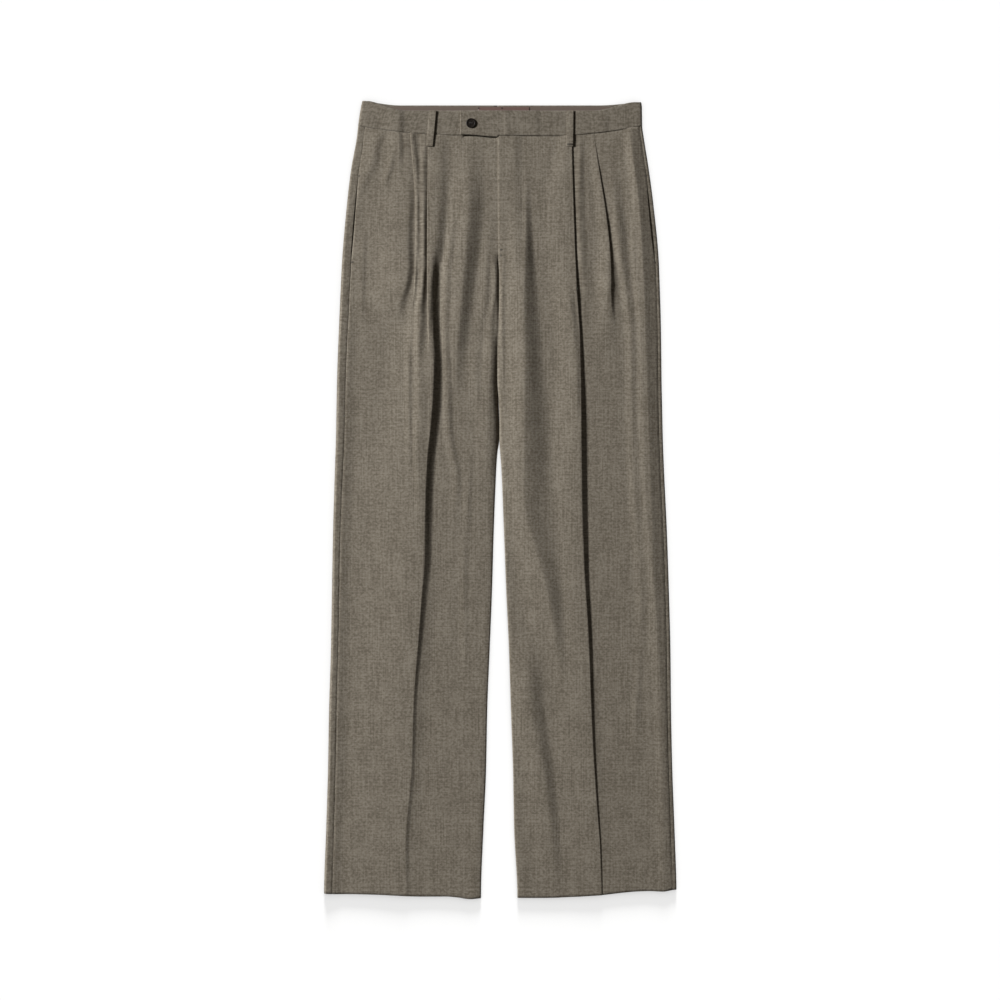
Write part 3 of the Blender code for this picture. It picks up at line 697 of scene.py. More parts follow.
# The outer pleat of the left front.
pleat(
    "left",
    (0, 192, 0, 4, 2, 12),
    (600, 172, 0, 4, 2, 12),
    (785, 158, 0, 4, 4, 12),
    (812, 153.6, 9, 4, 7, 18),
    (838, 152, 16, 3.8, 7, 20),
    (860, 152.4, 30, 2, 2.4, 20),
    (878, 152, 70, 0.9, 1, 18),
    (900, 150.8, 110, 0.6, 0.8, 16),
    (914, 149.4, 120, 0.55, 0.8, 16),
    (952, 144.6, 100, 0.55, 0.5, 14),
    (996, 137.6, 80, 0.6, 0.4, 12),
    (1030, 132.6, 45, 0.6, 0.3, 12),
    (1058, 129.5, 22, 0.6, 0.2, 10),
)
# The inner pleat of the left front.
pleat(
    "left",
    (0, 139.6, 38, 1.4, 0.6, 60),
    (65, 137.6, 38, 1.5, 0.8, 60),
    (134, 132.4, 37, 1.8, 1.4, 60),
    (226, 126.6, 36, 2, 2.2, 64),
    (364, 121, 33, 2.4, 4, 60),
    (455, 115.2, 31, 2.8, 6, 60),
    (548, 112, 30, 3, 7.5, 60),
    (640, 111, 33, 3, 6.8, 45),
    (700, 110.6, 40, 2.6, 4.4, 45),
    (740, 110.2, 52, 1.8, 2.4, 40),
    (776, 109.4, 68, 1.2, 1.4, 40),
    (810, 107.4, 100, 0.85, 1.2, 42),
    (836, 105.8, 150, 0.65, 1.8, 42),
    (865, 104.4, 175, 0.64, 3.5, 42),
    (893, 103.2, 180, 0.62, 5, 42),
    (948, 101.2, 180, 0.60, 5, 40),
    (1003, 99.6, 180, 0.50, 5, 28),
    (1030, 99, 180, 0.47, 5, 18),
    (1058, 98.6, 180, 0.45, 4, 16),
)

# Folds and ridges of the laid cloth: the height of the crest over the cloth beside it, and how far
# the crest slopes towards the side and towards the middle. Each has a kind of crest.
Fold = namedtuple("Fold", "height crest lift outer inner")
FOLDS = {"right": [], "left": []}


def fold(side, kind, outer, inner, *rows):
    """A fold down the cloth. A row of height, crest and lift takes the fold's own slopes."""
    rows = [row if len(row) == len(Fold._fields) else (*row, outer, inner) for row in rows]
    FOLDS[side].append((kind, table(Fold, *rows)))


# The pressed crease, and the slack that falls away beside it.
fold(
    "right", "pressed", 110, 8,
    (0, 129, 0.4, 60, 5), (65, 130.4, 0.8, 90, 6), (179, 122.1, 0.9, 110, 5.5),
    (272, 119, 1.2, 110, 5.5), (341, 113.9, 1.9, 110, 7), (410, 108.6, 2.7, 110, 9),
    (465, 104.2, 3.6, 110, 10.5), (548, 103.1, 4.6, 105, 11.5), (603, 100.7, 5.4, 100, 12),
    (644, 96.6, 6.2, 80, 12.5), (686, 93.2, 6.8, 80, 13), (748, 91.5, 6.4, 70, 12.5),
    (782, 92.2, 5.4, 70, 10.5), (824, 91.8, 3.8, 90, 9.5), (851, 91.6, 2.8, 90, 9),
    (872, 92.5, 1, 90, 9), (890, 93, 0, 90, 9),
)
fold(
    "right", "slack", 90, 25,
    (0, 129, 0.8), (65, 130.4, 1.3), (179, 122.1, 1.7), (272, 119, 2.4), (410, 108.6, 2),
    (548, 103.1, 0.9, 90, 20), (620, 99, 0.3, 90, 20), (660, 95, 0, 90, 20),
)
fold(
    "right", "soft", 14, 13,
    (815, 96, 0, 40, 8), (851, 95.5, 1.2, 40, 9), (878, 93.5, 2.2, 40, 15),
    (907, 88.5, 2.2, 40, 14), (962, 84, 1.9, 40, 13), (1031, 82, 0.6), (1064, 81, 0.1),
)
# The deep drag fold of the thigh.
fold(
    "right", "drag", 16, 26,
    (690, 62, 0, 14, 13), (713, 61, 1, 14, 13), (748, 60, 2.2, 24, 15), (782, 57.5, 3.8, 30, 17),
    (851, 51.5, 4.9, 38, 20), (907, 46.5, 5.3, 42, 23), (962, 44, 4.6, 44, 26),
    (1000, 44.5, 2.4, 40, 26), (1050, 44, 0.4, 30, 24),
)
# The cloth beside the inner pleat's edge rises and rolls under it.
fold(
    "right", "soft", 8, 5.5,
    (735, 114, 0, 12, 12), (760, 113.5, 1.7, 12, 12.4), (782, 112.4, 3, 12, 12.4),
    (810, 111.2, 3.7, 9, 11), (848, 107.2, 3.9, 6, 7.8), (870, 106.4, 3.6, 6, 7.2),
    (907, 105.8, 3.2, 6, 6.8), (962, 106.2, 3, 6, 8.5), (1000, 106.4, 2.2, 6, 8),
    (1031, 105.6, 1.2, 6, 8), (1064, 105, 0.2, 6, 7),
)
# The same beside the outer pleat.
fold(
    "right", "soft", 16, 8.5,
    (785, 144, 0, 40, 12), (811, 140.5, 1.7, 50, 12), (826, 137, 2.7, 60, 11),
    (852, 129.5, 3.5, 60, 10), (870, 128.5, 4.1, 60, 12), (907, 129, 2.9, 60, 11),
    (962, 125.5, 1.8, 50, 8.5), (1010, 126.5, 0.7, 30, 8.5), (1058, 131, 0.4),
)
# Thin ridges between the pleats, running on down beside the crease.
fold(
    "right", "soft", 3, 3.2,
    (860, 114.5, 0), (907, 114, 0.35), (962, 114.2, 0.5), (1010, 114.5, 0.3), (1040, 115, 0),
)
fold(
    "right", "soft", 7, 14,
    (470, 110, 0), (548, 111.8, 0.5), (617, 114.5, 0.9), (686, 112.5, 1.1), (748, 113, 0.8, 5, 9),
    (800, 113.5, 0, 5, 7),
)
fold(
    "right", "soft", 7, 5,
    (560, 125, 0), (620, 125.5, 0.5), (686, 126, 0.8), (748, 125.5, 0.9), (782, 123, 0.8),
    (825, 119, 0.4), (845, 117, 0),
)
# Smaller folds of the inner thigh.
fold(
    "right", "soft", 9, 8,
    (500, 63, 0), (575, 60, 0.8), (644, 71, 1.1), (713, 73, 1.2), (782, 76, 1.3),
    (851, 74.5, 1.4, 8, 9), (907, 69, 1.2, 8, 9), (962, 64, 0, 8, 9),
)
fold(
    "right", "soft", 9, 7,
    (470, 46, 0), (540, 45, 0.6), (640, 40, 0),
)
fold(
    "right", "soft", 12, 9,
    (650, 30, 0), (713, 33, 0.9), (782, 27.5, 0.4), (831, 20, 1.2, 12, 9), (858, 19.5, 1.2, 12, 9),
    (880, 18, 0.9, 12, 9), (907, 15, 0.5), (960, 12, 0),
)
fold(
    "right", "soft", 9, 7,
    (560, 17, 0, 20, 14), (600, 17, 1, 22, 14), (644, 17, 1.6, 24, 13), (686, 16, 1.7, 22, 12),
    (713, 15, 2, 20, 11), (762, 13, 1.9, 14, 9.5), (782, 13.5, 1.3, 12, 9),
    (805, 11.4, 1.2, 10, 6.5), (831, 7.4, 1.2, 9, 4.6), (858, 7, 1.2, 8, 4.4), (880, 9, 0.5, 7, 4),
    (900, 9, 0, 7, 4),
)
fold(
    "right", "soft", 9, 7,
    (300, 47, 0), (355, 49, 0.4), (465, 50, 0.5), (520, 50, 0),
)
# Slanting folds under the band at the hip.
fold(
    "right", "soft", 16, 12,
    (960, 194, 0), (983, 190, 1), (1010, 178, 1.2), (1031, 174, 1.3), (1064, 164, 1),
)
fold(
    "right", "soft", 8, 7,
    (975, 160, 0), (989, 157.5, 0.9), (1010, 151.5, 1), (1040, 148, 0),
)
fold(
    "right", "soft", 28, 8,
    (990, 139, 0), (1010, 140, 0.7), (1031, 140, 1.6), (1064, 141, 1.8),
)
fold(
    "right", "soft", 14, 8,
    (780, 192, 0), (824, 192, 0.8), (893, 190, 0.9), (930, 188, 0),
)
# The deep drag fold of the thigh, and its faint end on the shin.
fold(
    "left", "drag", 20, 30,
    (290, 84, 0, 14, 38), (350, 76.5, 2, 16, 42), (410, 67.5, 4.8, 22, 46), (479, 50, 5.6, 34, 42),
    (548, 34, 6.2, 46, 38), (617, 33.5, 6.4, 40, 36), (686, 33.5, 6.8, 34, 34),
    (740, 34.5, 6.4, 28, 36), (810, 33, 6, 24, 36), (879, 34, 5.2, 16, 34),
    (930, 35.5, 2.6, 10, 30), (962, 35.5, 1.3, 9, 26), (1000, 35, 0.3, 9, 20), (1030, 34, 0, 9, 20),
)
fold(
    "left", "soft", 22, 34,
    (0, 76, 0.2, 14, 34), (65, 72, 1.2, 14, 34), (134, 64.5, 2.4, 16, 36), (200, 53.5, 3, 20, 36),
    (272, 40, 3.7, 24, 34), (320, 38, 1.8, 22, 34), (370, 36, 0, 20, 34),
)
# A thin ridge beside the slit of the fly's lower end.
fold(
    "left", "soft", 4.5, 4,
    (620, 6, 0), (690, 4.5, 0.3), (740, 3.5, 0.6), (782, 2.6, 1, 6, 4), (850, 3, 0.8, 6, 4),
    (905, 5, 0.3), (935, 5, 0),
)
# The slack beside the pressed crease.
fold(
    "left", "slack", 16, 40,
    (0, 140.5, 0.3, 16, 70), (65, 138.5, 0.7, 16, 70), (134, 134, 0.8, 16, 70),
    (272, 126.5, 1, 16, 70), (364, 123, 0.6, 16, 60), (420, 118, 0, 16, 60),
)
# The cloth between the pleats.
fold(
    "left", "soft", 8, 5,
    (800, 128, 0), (838, 118.7, 0.6, 17, 8), (893, 111, 0.9, 17, 5), (948, 109, 0.6, 12, 5),
    (1003, 110, 0.9), (1040, 110.5, 0.5), (1064, 110.5, 0.2),
)
fold(
    "left", "soft", 17, 22,
    (740, 148, 0), (769, 148, 0.7), (800, 148, 1.3), (838, 148.6, 2.2), (862, 148, 2.3),
    (890, 147.5, 0.8), (912, 147, 0),
)
# The cloth rises slowly towards the crease.
fold(
    "left", "soft", 9, 32,
    (640, 106, 0, 5, 34), (700, 106, 0.8, 5, 34), (724, 105.5, 0.9, 5, 34), (741, 104, 1),
    (775, 101, 1.3), (810, 97, 1.6), (850, 93, 0),
)
# The cloth outside the inner pleat's edge rises again.
fold(
    "left", "soft", 12, 4,
    (760, 118, 0), (800, 113.5, 0.5), (838, 111.6, 0.8), (893, 108.6, 0.9), (948, 106.6, 0.9),
    (1003, 104.8, 0.7), (1058, 103.6, 0.3),
)
# Drag folds of the hip and the side.
fold(
    "left", "soft", 11, 10,
    (200, 186, 0), (272, 188, 0.6, 9, 8), (350, 193, 0.4), (410, 194.6, 0.9), (480, 190, 0.7),
    (548, 185.6, 1, 12, 9), (620, 182, 0.8), (686, 180.8, 0.9, 9, 9), (769, 180, 1.5),
    (838, 174, 1.8), (893, 165, 2.4, 16, 9), (948, 159.5, 1.6, 14, 9), (990, 155, 0.6, 14, 9),
    (1020, 153, 0, 14, 9),
)
fold(
    "left", "roll", 28, 30,
    (0, 229, 0.3, 18, 12), (134, 226, 0.6, 18, 12), (272, 222, 0.9, 18, 14),
    (410, 214.6, 1.2, 22, 18), (480, 207, 1.7, 26, 24), (548, 201.5, 1.9, 30, 28),
    (686, 197, 1.9, 29, 28), (769, 194.6, 1.9, 31, 22), (831, 190, 1.9, 34, 14),
    (893, 185, 1.9, 36, 12), (962, 185, 1.4, 28, 16), (1031, 183, 1, 20, 22),
    (1064, 182, 0.8, 18, 20),
)
fold(
    "left", "roll", 18, 12,
    (0, 225, 0.5, 16, 24), (134, 222, 0.7, 17, 24), (272, 218, 0.9, 17, 24),
    (410, 213.5, 1.2, 18, 22), (548, 208.5, 1.5, 18, 20), (686, 204, 1.7, 18, 18),
    (831, 199, 2.2, 18, 15), (893, 196, 2.4), (962, 191, 2.4), (1031, 182, 1.8), (1064, 178, 1.2),
)

# How sharp a crest is on its side away from the lamp, and on the other side.
CREST_SHARPNESS = {
    "soft": (0.0, 0.0),
    "pressed": (1.0, 0.0),
    "slack": (2.0, 0.0),
    "drag": (0.5, 0.5),
    "roll": (1.0, 1.0),
}

# Along the inseam and under the fly the cloth rolls down towards the other leg.
Roll = namedtuple("Roll", "height width drop")
INNER_ROLLS = {
    "right": table(
        Roll,
        (0, 9, 0.8),
        (340, 7, 0.8),
        (465, 7, 0.9),
        (575, 9, 1.3),
        (644, 7, 2.4),
        (690, 6, 2.4),
        (725, 6, 1.6),
        (762, 4, 0.9),
        (782, 3.4, 0.8),
        (822, 3.4, 1.8),
        (872, 3.2, 1.9),
        (892, 3.5, 0.4),
        (900, 3.5, 0),
    ),
    "left": table(
        Roll,
        (0, 8, 0.3),
        (340, 8, 0.3),
        (560, 5, 0.5),
        (644, 3.5, 2.2),
        (713, 3.5, 2.2),
        (762, 3, 1.6),
        (782, 3, 1.2),
        (822, 2.5, 1),
        (890, 2.5, 0.6),
        (1052, 2.5, 0.5),
    ),
}


def fold_share(row):
    """0 where the cloth lies flat and 1 where it turns enough to be drawn as a fold."""
    return ease((row.angle - SLOPE_ANGLE) / SLOPE_TO_FOLD)


def pleat_size(row):
    """How far across and how high a fold reaches from the cloth under it to its edge."""
    angle = np.radians(row.angle)
    across = 2 * row.radius * np.sin(angle) + row.straight * np.cos(angle)
    high = 2 * row.radius * (1 - np.cos(angle)) + row.straight * np.sin(angle)
    return across * fold_share(row) + PLEAT_WINDOW * (1 - fold_share(row)), high


def pleat_window(row):
    """Width of flat cloth that the fold itself takes up."""
    return np.maximum(PLEAT_WINDOW, pleat_size(row)[0])


def pleat_fold(row, part):
    """Place from the edge and lift of the cloth in a fold, from its edge (0) to under it (1)."""
    across, high = pleat_size(row)
    angle = np.radians(row.angle)
    part = np.clip(part, 0.0, 1.0)
    over = angle * np.minimum(part / ARC_END, 1.0)
    back = angle * np.minimum((1 - part) / (1 - ARC_START), 1.0)
    along = row.straight * np.clip((part - ARC_END) / (ARC_START - ARC_END), 0.0, 1.0)
    true_across = 2 * row.radius * np.sin(angle) + row.straight * np.cos(angle)
    first_place = row.radius * np.sin(over) + along * np.cos(angle)
    first_lift = high - row.radius * (1 - np.cos(over)) - along * np.sin(angle)
    first = part < ARC_START
    place = np.where(first, first_place, true_across - row.radius * np.sin(back))
    lift = np.where(first, first_lift, row.radius * (1 - np.cos(back)))
    share = fold_share(row)
    slope = high * (1 - ease(part))
    return share * place + (1 - share) * across * part, share * lift + (1 - share) * slope


def pleat_shift(row, out):
    """How far a pleat moves the cloth: the lower cloth is drawn in under the edge."""
    window = pleat_window(row)
    beyond = (out - row.edge - window) / PLEAT_PULL
    under = (pleat_size(row)[0] - window) * (1 - ease(beyond))
    folded = row.edge + pleat_fold(row, (out - row.edge) / window)[0] - out
    return np.where(beyond >= 0, under, np.where(out <= row.edge, 0.0, folded))


def flat_end(row):
    """The top layer lies level from the edge to here, past the cloth folded under it."""
    reach = np.maximum(row.radius - pleat_size(row)[0], 0.0) + CLOTH
    return row.edge - reach * ease((row.angle - TUCK_ANGLE) / TUCK_ANGLE)


def pleat_lift(row, out, place):
    """How high the cloth of a pleat lies over its panel's level."""
    window = pleat_window(row)
    folded = pleat_fold(row, (out - row.edge) / window)[1]
    top = pleat_size(row)[1] * (1 - ease((flat_end(row) - place) / row.fade))
    return np.where(out >= row.edge + window, 0.0, np.where(out > row.edge, folded, top))


def fold_lift(leg, kind, row, place):
    """How high a fold lies over the cloth beside it. A sharper crest falls off sooner."""
    beyond = place - row.crest
    away, towards = CREST_SHARPNESS[kind]
    outer_sharpness, inner_sharpness = (towards, away) if leg.sign < 0 else (away, towards)
    sharpness = np.where(beyond > 0, outer_sharpness, inner_sharpness)
    part = np.clip(np.abs(beyond) / np.where(beyond > 0, row.outer, row.inner), 0.0, 1.0)
    return row.lift * (1 - part) ** 2 * (1 + (2 - sharpness) * part)


def front_level(leg, out, height):
    """Place across and level of the middle of the front cloth at flat places across."""
    pleats = [at(rows, height) for rows in PLEATS[leg.name]]
    place = out + sum(pleat_shift(row, out) for row in pleats)
    level = FRONT_LEVEL + sum(pleat_lift(row, out, place) for row in pleats)
    for kind, rows in FOLDS[leg.name]:
        level = level + fold_lift(leg, kind, at(rows, height), place)
    inwards = side_of(leg, height) - place
    level = level - edge_drop(inwards, SIDE_ROLL, HALF_GAP) - seam_dip(leg, inwards, height)
    inner = inner_of(leg, height)
    level = level - inseam_share(height) * edge_drop(place - inner, EDGE_TIP, HALF_GAP - SHOULDER)
    roll = at(INNER_ROLLS[leg.name], height)
    level = level - roll.drop * np.clip(1 - (place - inner) / roll.width, 0.0, 1.0) ** 2
    if leg.sign > 0:
        across = 1 - ease((place - FLY_FLAT_WIDTH) / FLY_RISE_WIDTH)
        level = level + FLY_LIFT * across * ease((height - FLY_RISE_START) / FLY_RISE_HEIGHT)
    seed = 11 if leg.sign < 0 else 12
    inner_calm = ease((place - inner - CALM_INNER) / CALM_FADE)
    calm = ease((inwards - CALM_SIDE) / CALM_FADE) * inner_calm
    lowest = np.where(place < inner + EDGE_TIP, BACK_LEVEL, BACK_LEVEL + CLOTH)
    return place, np.maximum(level + calm * ripple(place, height, RIPPLE_SIZE, seed), lowest)


def near(places, middle, width):
    """1 at the middle, and close to 0 from two widths away."""
    return np.exp(-(((places - middle) / width) ** 2))


def front_places(leg, heights):
    """Flat places across for every row of a front, closest together on its folds."""
    tall = heights[:, None]
    start = side_of(leg, tall) + CLOTH / 2 - at(leg.seam, tall).front
    under = 0.0
    if leg.sign < 0:
        under = CROTCH_LAP * ease((tall - CROTCH_LAP_START) / CROTCH_LAP_FADE)
        fly_share = ease((tall - FLY_END_HEIGHT + UNDERLAP_FADE / 2) / UNDERLAP_FADE)
        under = under + (UNDERLAP - CROTCH_LAP) * fly_share
    end = inner_of(leg, tall) - under
    tries = start + (end - start) * np.linspace(0, 1, COLUMN_TRIES)
    places = tries + sum(pleat_shift(at(rows, tall), tries) for rows in PLEATS[leg.name])
    density = np.ones_like(tries)
    for rows in PLEATS[leg.name]:
        row = at(rows, tall)
        half = pleat_window(row) / 2
        closeness = PLEAT_CLOSENESS * ease(row.angle / PLEAT_CLOSE_ANGLE)
        density += closeness * near(tries - row.edge, half, half + 1.0)
    for kind, rows in FOLDS[leg.name]:
        row = at(rows, tall)
        half = (row.inner if leg.sign < 0 else row.outer) / 2
        closeness = (CREASE_CLOSENESS if kind == "pressed" else FOLD_CLOSENESS) / (half + 3.0)
        spread = near(places, row.crest + leg.sign * half, half + 1.0)
        density += closeness * np.minimum(row.lift, HIGH_FOLD) * spread
    density += INNER_CLOSENESS * near(tries, end, INNER_CLOSE_WIDTH)
    density += SIDE_CLOSENESS * near(tries, start, SIDE_CLOSE_WIDTH)
    total = np.cumsum((density[:, 1:] + density[:, :-1]) / 2, 1)
    total = np.concatenate([np.zeros((len(heights), 1)), total], 1)
    total /= total[:, -1:]
    shares = np.linspace(0, 1, FRONT_COLUMNS)
    return np.stack([np.interp(shares, total[row], tries[row]) for row in range(len(heights))])


def front_points(leg):
    """The front from the hem to the waist seam, as rows of points and their places in flat cloth."""
    nominal = np.linspace(0, FRONT_SEAM_HEIGHT + TOP_MARGIN, FRONT_ROWS + SPARE_ROWS)
    places = front_places(leg, nominal)
    rows = np.linspace(0, FRONT_SEAM_HEIGHT, FRONT_ROWS)[:, None]
    share = rows / FRONT_SEAM_HEIGHT
    height = np.repeat(rows, FRONT_COLUMNS, 1)
    for _ in range(SETTLE_ROUNDS):
        columns = [np.interp(height[:, c], nominal, places[:, c]) for c in range(FRONT_COLUMNS)]
        out = np.stack(columns, 1)
        place, level = front_level(leg, out, height)
        x = leg.sign * place
        top = front_waist_seam(x)
        low = hem(leg, x)
        height = low + share * (top + TOP_TUCK - low)
    under_tab = ease((x - TAB_GAP_OUTER) / TAB_GAP_FADE) * ease(MIDDLE_LINE - x)
    below = SEAM_SINK_BELOW + (TAB_GAP - SEAM_SINK_BELOW) * under_tab
    below = below + SEAM_SINK_HIP * ease((-x - HIP_START) / HIP_FADE)
    sink = ease((height - top + below) / (SEAM_SINK - under_tab))
    sunk = SEAM_LEVEL + (TAB_GAP_LEVEL - SEAM_LEVEL) * under_tab
    if leg.sign > 0:
        sunk = sunk + FLY_SEAM_RISE * ease((FLY_SEAM_REACH - x) / FLY_RISE_WIDTH)
    level = level * (1 - sink) + (sunk + SUNK_SHARE * (level - FRONT_LEVEL)) * sink
    return np.stack([x, height, level], -1), np.stack([out, height], -1)


for leg in (RIGHT, LEFT):
    points, flat = front_points(leg)
    material = wool(f"wool_front_{leg.name}", seed=4.1)
    front = cloth(f"front_panel_{leg.name}", points, flat, material)
    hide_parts(f"front_{leg.name}")
    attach(front, "root")
    0.226 if leg.sign < 0 else 0.233


# --- The waistband ---------------------------------------------------------------------------
# The band is a double strip of the wool in two halves, from the centre back round to the front.
# The left half ends in a tab that lies over the right half. Its top edge is a turned fold.

BAND_CLOTH = 1.6
BAND_BACK_LEVEL = 0.8
BAND_FRONT_LEVEL = 5.2
BAND_ROLL = 7.0
BAND_ROLL_STOPS = (BAND_ROLL, 5.5, 4.0)
BAND_TIP = 2.6
BAND_END = MIDDLE_LINE - 1.5
TAB_LEVEL = 6.6
TAB_END = -55.0
TAB_RISE_START = 58.0
TAB_RISE_END = 9.0
FRONT_TOP_HEIGHT = 1085.0
BACK_TOP_HEIGHT = 1092.8
SIDE_TOP_HEIGHT = 1098.7
LEFT_SIDE_DROP = 2.0
FRONT_TOP_FLAT = 130.0
BACK_TOP_FLAT = 138.0
TOP_RISE_WIDTH = 58.0

# How far the band turns down at its lower and upper edge, and over which width. Its unevenness
# stays clear of both edges.
LOW_DIP = 0.3
LOW_DIP_WIDTH = 2.2
TOP_DIP = 0.35
TOP_DIP_WIDTH = 1.6
BAND_RIPPLE_SIZE = 0.05
BAND_RIPPLE_TURN = 6
BAND_CALM = 4.0

# Two more columns of the left half stand close by the middle line, where its edge has a small step.
BAND_ROWS = 26
BAND_BACK_COLUMNS = 24
BAND_FRONT_COLUMNS = 189
STEP_COLUMNS = (-0.05, 0.25)

BAND_FOLDS = {
    "right": [Fold(0, 140.0, 1.6, 30, 10), Fold(0, 22.0, 0.4, 14, 9)],
    "left": [Fold(0, 48.0, 0.5, 9, 22), Fold(0, 142.0, 0.5, 10, 20), Fold(0, 8.0, 0.3, 8, 6)],
}


def band_top(x, front):
    """Height of the band's top edge: low in front, higher at the back, highest at the sides."""
    low, flat = (FRONT_TOP_HEIGHT, FRONT_TOP_FLAT) if front else (BACK_TOP_HEIGHT, BACK_TOP_FLAT)
    side_top = SIDE_TOP_HEIGHT - np.where(x > 0, LEFT_SIDE_DROP, 0.0)
    return low + (side_top - low) * ease((np.abs(x) - flat) / TOP_RISE_WIDTH)


def tab_lift(leg, out):
    """How far the left half rises over the end of the right half."""
    if leg.sign < 0:
        return 0 * out
    rise = ease((TAB_RISE_START - out) / (TAB_RISE_START - TAB_RISE_END))
    return (TAB_LEVEL - BAND_FRONT_LEVEL) * rise


def band_points(leg):
    """Half a band from its lower to its upper edge, from the centre back round to its end."""
    half = (BAND_FRONT_LEVEL - BAND_BACK_LEVEL) / 2
    end = BAND_END if leg.sign < 0 else TAB_END
    share = np.linspace(0, 1, BAND_ROWS)[:, None]
    height = SIDE_SEAM_HEIGHT + (SIDE_TOP_HEIGHT - SIDE_SEAM_HEIGHT) * share
    side = getattr(at(OUTLINE, height), leg.side) - BAND_CLOTH / 2
    inner = getattr(OUTLINE[-1], leg.inner)
    rolls = np.concatenate([BAND_ROLL_STOPS, turned_edge(BAND_TIP)])
    back_roll = side - rolls[:-1]
    front_roll = side - rolls[::-1]
    back_parts = np.linspace(0, 1, BAND_BACK_COLUMNS + 1)[:-1]
    back = inner + (side - BAND_ROLL - inner) * back_parts
    front_parts = np.linspace(0, 1, BAND_FRONT_COLUMNS + 1)[1:]
    front = side - BAND_ROLL + (end - side + BAND_ROLL) * front_parts
    if leg.sign > 0:
        step = np.broadcast_to(np.add(MIDDLE_LINE, STEP_COLUMNS), (BAND_ROWS, 2))
        front = np.sort(np.concatenate([front, step], 1), 1)[:, ::-1]
    x = leg.sign * np.concatenate([back, back_roll, front_roll, front], 1)
    levels = [
        BAND_BACK_LEVEL + 0 * back,
        BAND_BACK_LEVEL + edge_drop(side - back_roll, BAND_ROLL, half, BAND_TIP),
        BAND_FRONT_LEVEL - edge_drop(side - front_roll, BAND_ROLL, half, BAND_TIP),
        BAND_FRONT_LEVEL + tab_lift(leg, front),
    ]
    level = np.concatenate(levels, 1)
    shares = [0 * back, 0.5 + 0 * back_roll, 0.5 + 0 * front_roll, 1 + 0 * front]
    front_share = np.concatenate(shares, 1)
    low = front_waist_seam(x) * front_share + back_waist_seam(x) * (1 - front_share)
    high = band_top(x, True) * front_share + band_top(x, False) * (1 - front_share)
    tall = low + share * (high - low)
    from_low = tall - low
    from_high = high - tall
    dip = LOW_DIP * (1 - ease(from_low / LOW_DIP_WIDTH))
    dip = dip + TOP_DIP * (1 - ease(from_high / TOP_DIP_WIDTH))
    wave = ripple(x, tall * BAND_RIPPLE_TURN, BAND_RIPPLE_SIZE, seed=21)
    wave = wave * ease(from_low / BAND_CALM) * ease(from_high / BAND_CALM)
    for row in BAND_FOLDS[leg.name]:
        wave = wave + fold_lift(leg, "soft", row, leg.sign * x)
    level = level + np.where(front_share == 1, wave - dip, 0.0)
    step = np.hypot(np.diff(x, axis=1), np.diff(level, axis=1))
    along = np.concatenate([np.zeros((BAND_ROWS, 1)), np.cumsum(step, 1)], 1)
    return np.stack([x, tall, level], -1), np.stack([along, tall], -1)


for leg in (RIGHT, LEFT):
    points, flat = band_points(leg)
    # The band's wool is painted a tenth darker, as shade.
    material = wool(f"wool_band_painted_shade_{leg.name}", seed=6.7, depth=0.9)
    band = cloth(f"band_{leg.name}", points, flat, material, BAND_CLOTH)
    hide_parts(f"waistband_{leg.name}")
    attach(band, "root")
    width = 0.39 if leg.sign < 0 else 0.451


# --- The lining and the label ----------------------------------------------------------------
# The inside of the band is faced with a brown-mauve twill that shows over the front's top edge.
# A plain dusty-red woven label is sewn to it at the centre back.

LINING_WIDTH = 318.0
LINING_HEIGHT = 30.0
LINING_DROP = 16.5
LINING_LEVEL = 2.4
LINING_CLOTH = 0.8
LINING_DARK = (0.106, 0.078, 0.062)
LINING_LIGHT = (0.140, 0.106, 0.086)
LABEL_WIDTH = 71.0
LABEL_HEIGHT = 17.0
LABEL_MIDDLE = 5.5
LABEL_DROP = 11.0
LABEL_LEVEL = 2.93
LABEL_CLOTH = 0.3
LABEL_DARK = (0.106, 0.062, 0.052)
LABEL_LIGHT = (0.152, 0.092, 0.079)
STRIP_COLUMNS = 61
STRIP_ROWS = 13


def twill(name, dark, light, spacing, roughness):
    """A smooth twill: fine slanting ribs in two shades, with a soft sheen."""
    made, shader, start = start_material(
        name, Sheen_Weight=0.25, Sheen_Roughness=0.35, Specular_IOR_Level=0.4
    )
    grain, across, along = grain_of(start)
    rib = ((across + along) * (2 * math.pi / spacing)).wave() * 0.5 + 0.5
    cloud = start.stretched_noise(grain, (300, 700, 1), 2.0)
    colour = start.mix(rib * 0.5 + cloud * 0.5, dark, light)
    bump = start.bump(rib + cloud, 0.4, 0.0001)
    rough = cloud * 0.2 + roughness
    finish_material(start, shader, Base_Color=colour, Roughness=rough, Normal=bump)
    return made


def strip(name, width, height, middle, level, material, thickness):
    """A level strip of cloth round a middle."""
    across = np.linspace(-width / 2, width / 2, STRIP_COLUMNS)[None, :]
    up = np.linspace(-height / 2, height / 2, STRIP_ROWS)[:, None]
    places = (across + middle[0], up + middle[1], level)
    points = np.stack(np.broadcast_arrays(*places), -1)
    return cloth(name, points, points[..., :2].copy(), material, thickness)


lining_twill = twill("lining_twill", LINING_DARK, LINING_LIGHT, spacing=0.0008, roughness=0.55)
lining = strip(
    "band_lining",
    LINING_WIDTH,
    LINING_HEIGHT,
    (0.0, BACK_TOP_HEIGHT - LINING_DROP),
    LINING_LEVEL,
    lining_twill,
    LINING_CLOTH,
)
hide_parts("waistband_lining")
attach(lining, "root")
label_satin = twill("label_satin", LABEL_DARK, LABEL_LIGHT, spacing=0.0006, roughness=0.45)
label = strip(
    "band_label",
    LABEL_WIDTH,
    LABEL_HEIGHT,
    (LABEL_MIDDLE, BACK_TOP_HEIGHT - LABEL_DROP),
    LABEL_LEVEL,
    label_satin,
    LABEL_CLOTH,
)
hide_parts("label")
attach(label, "root")


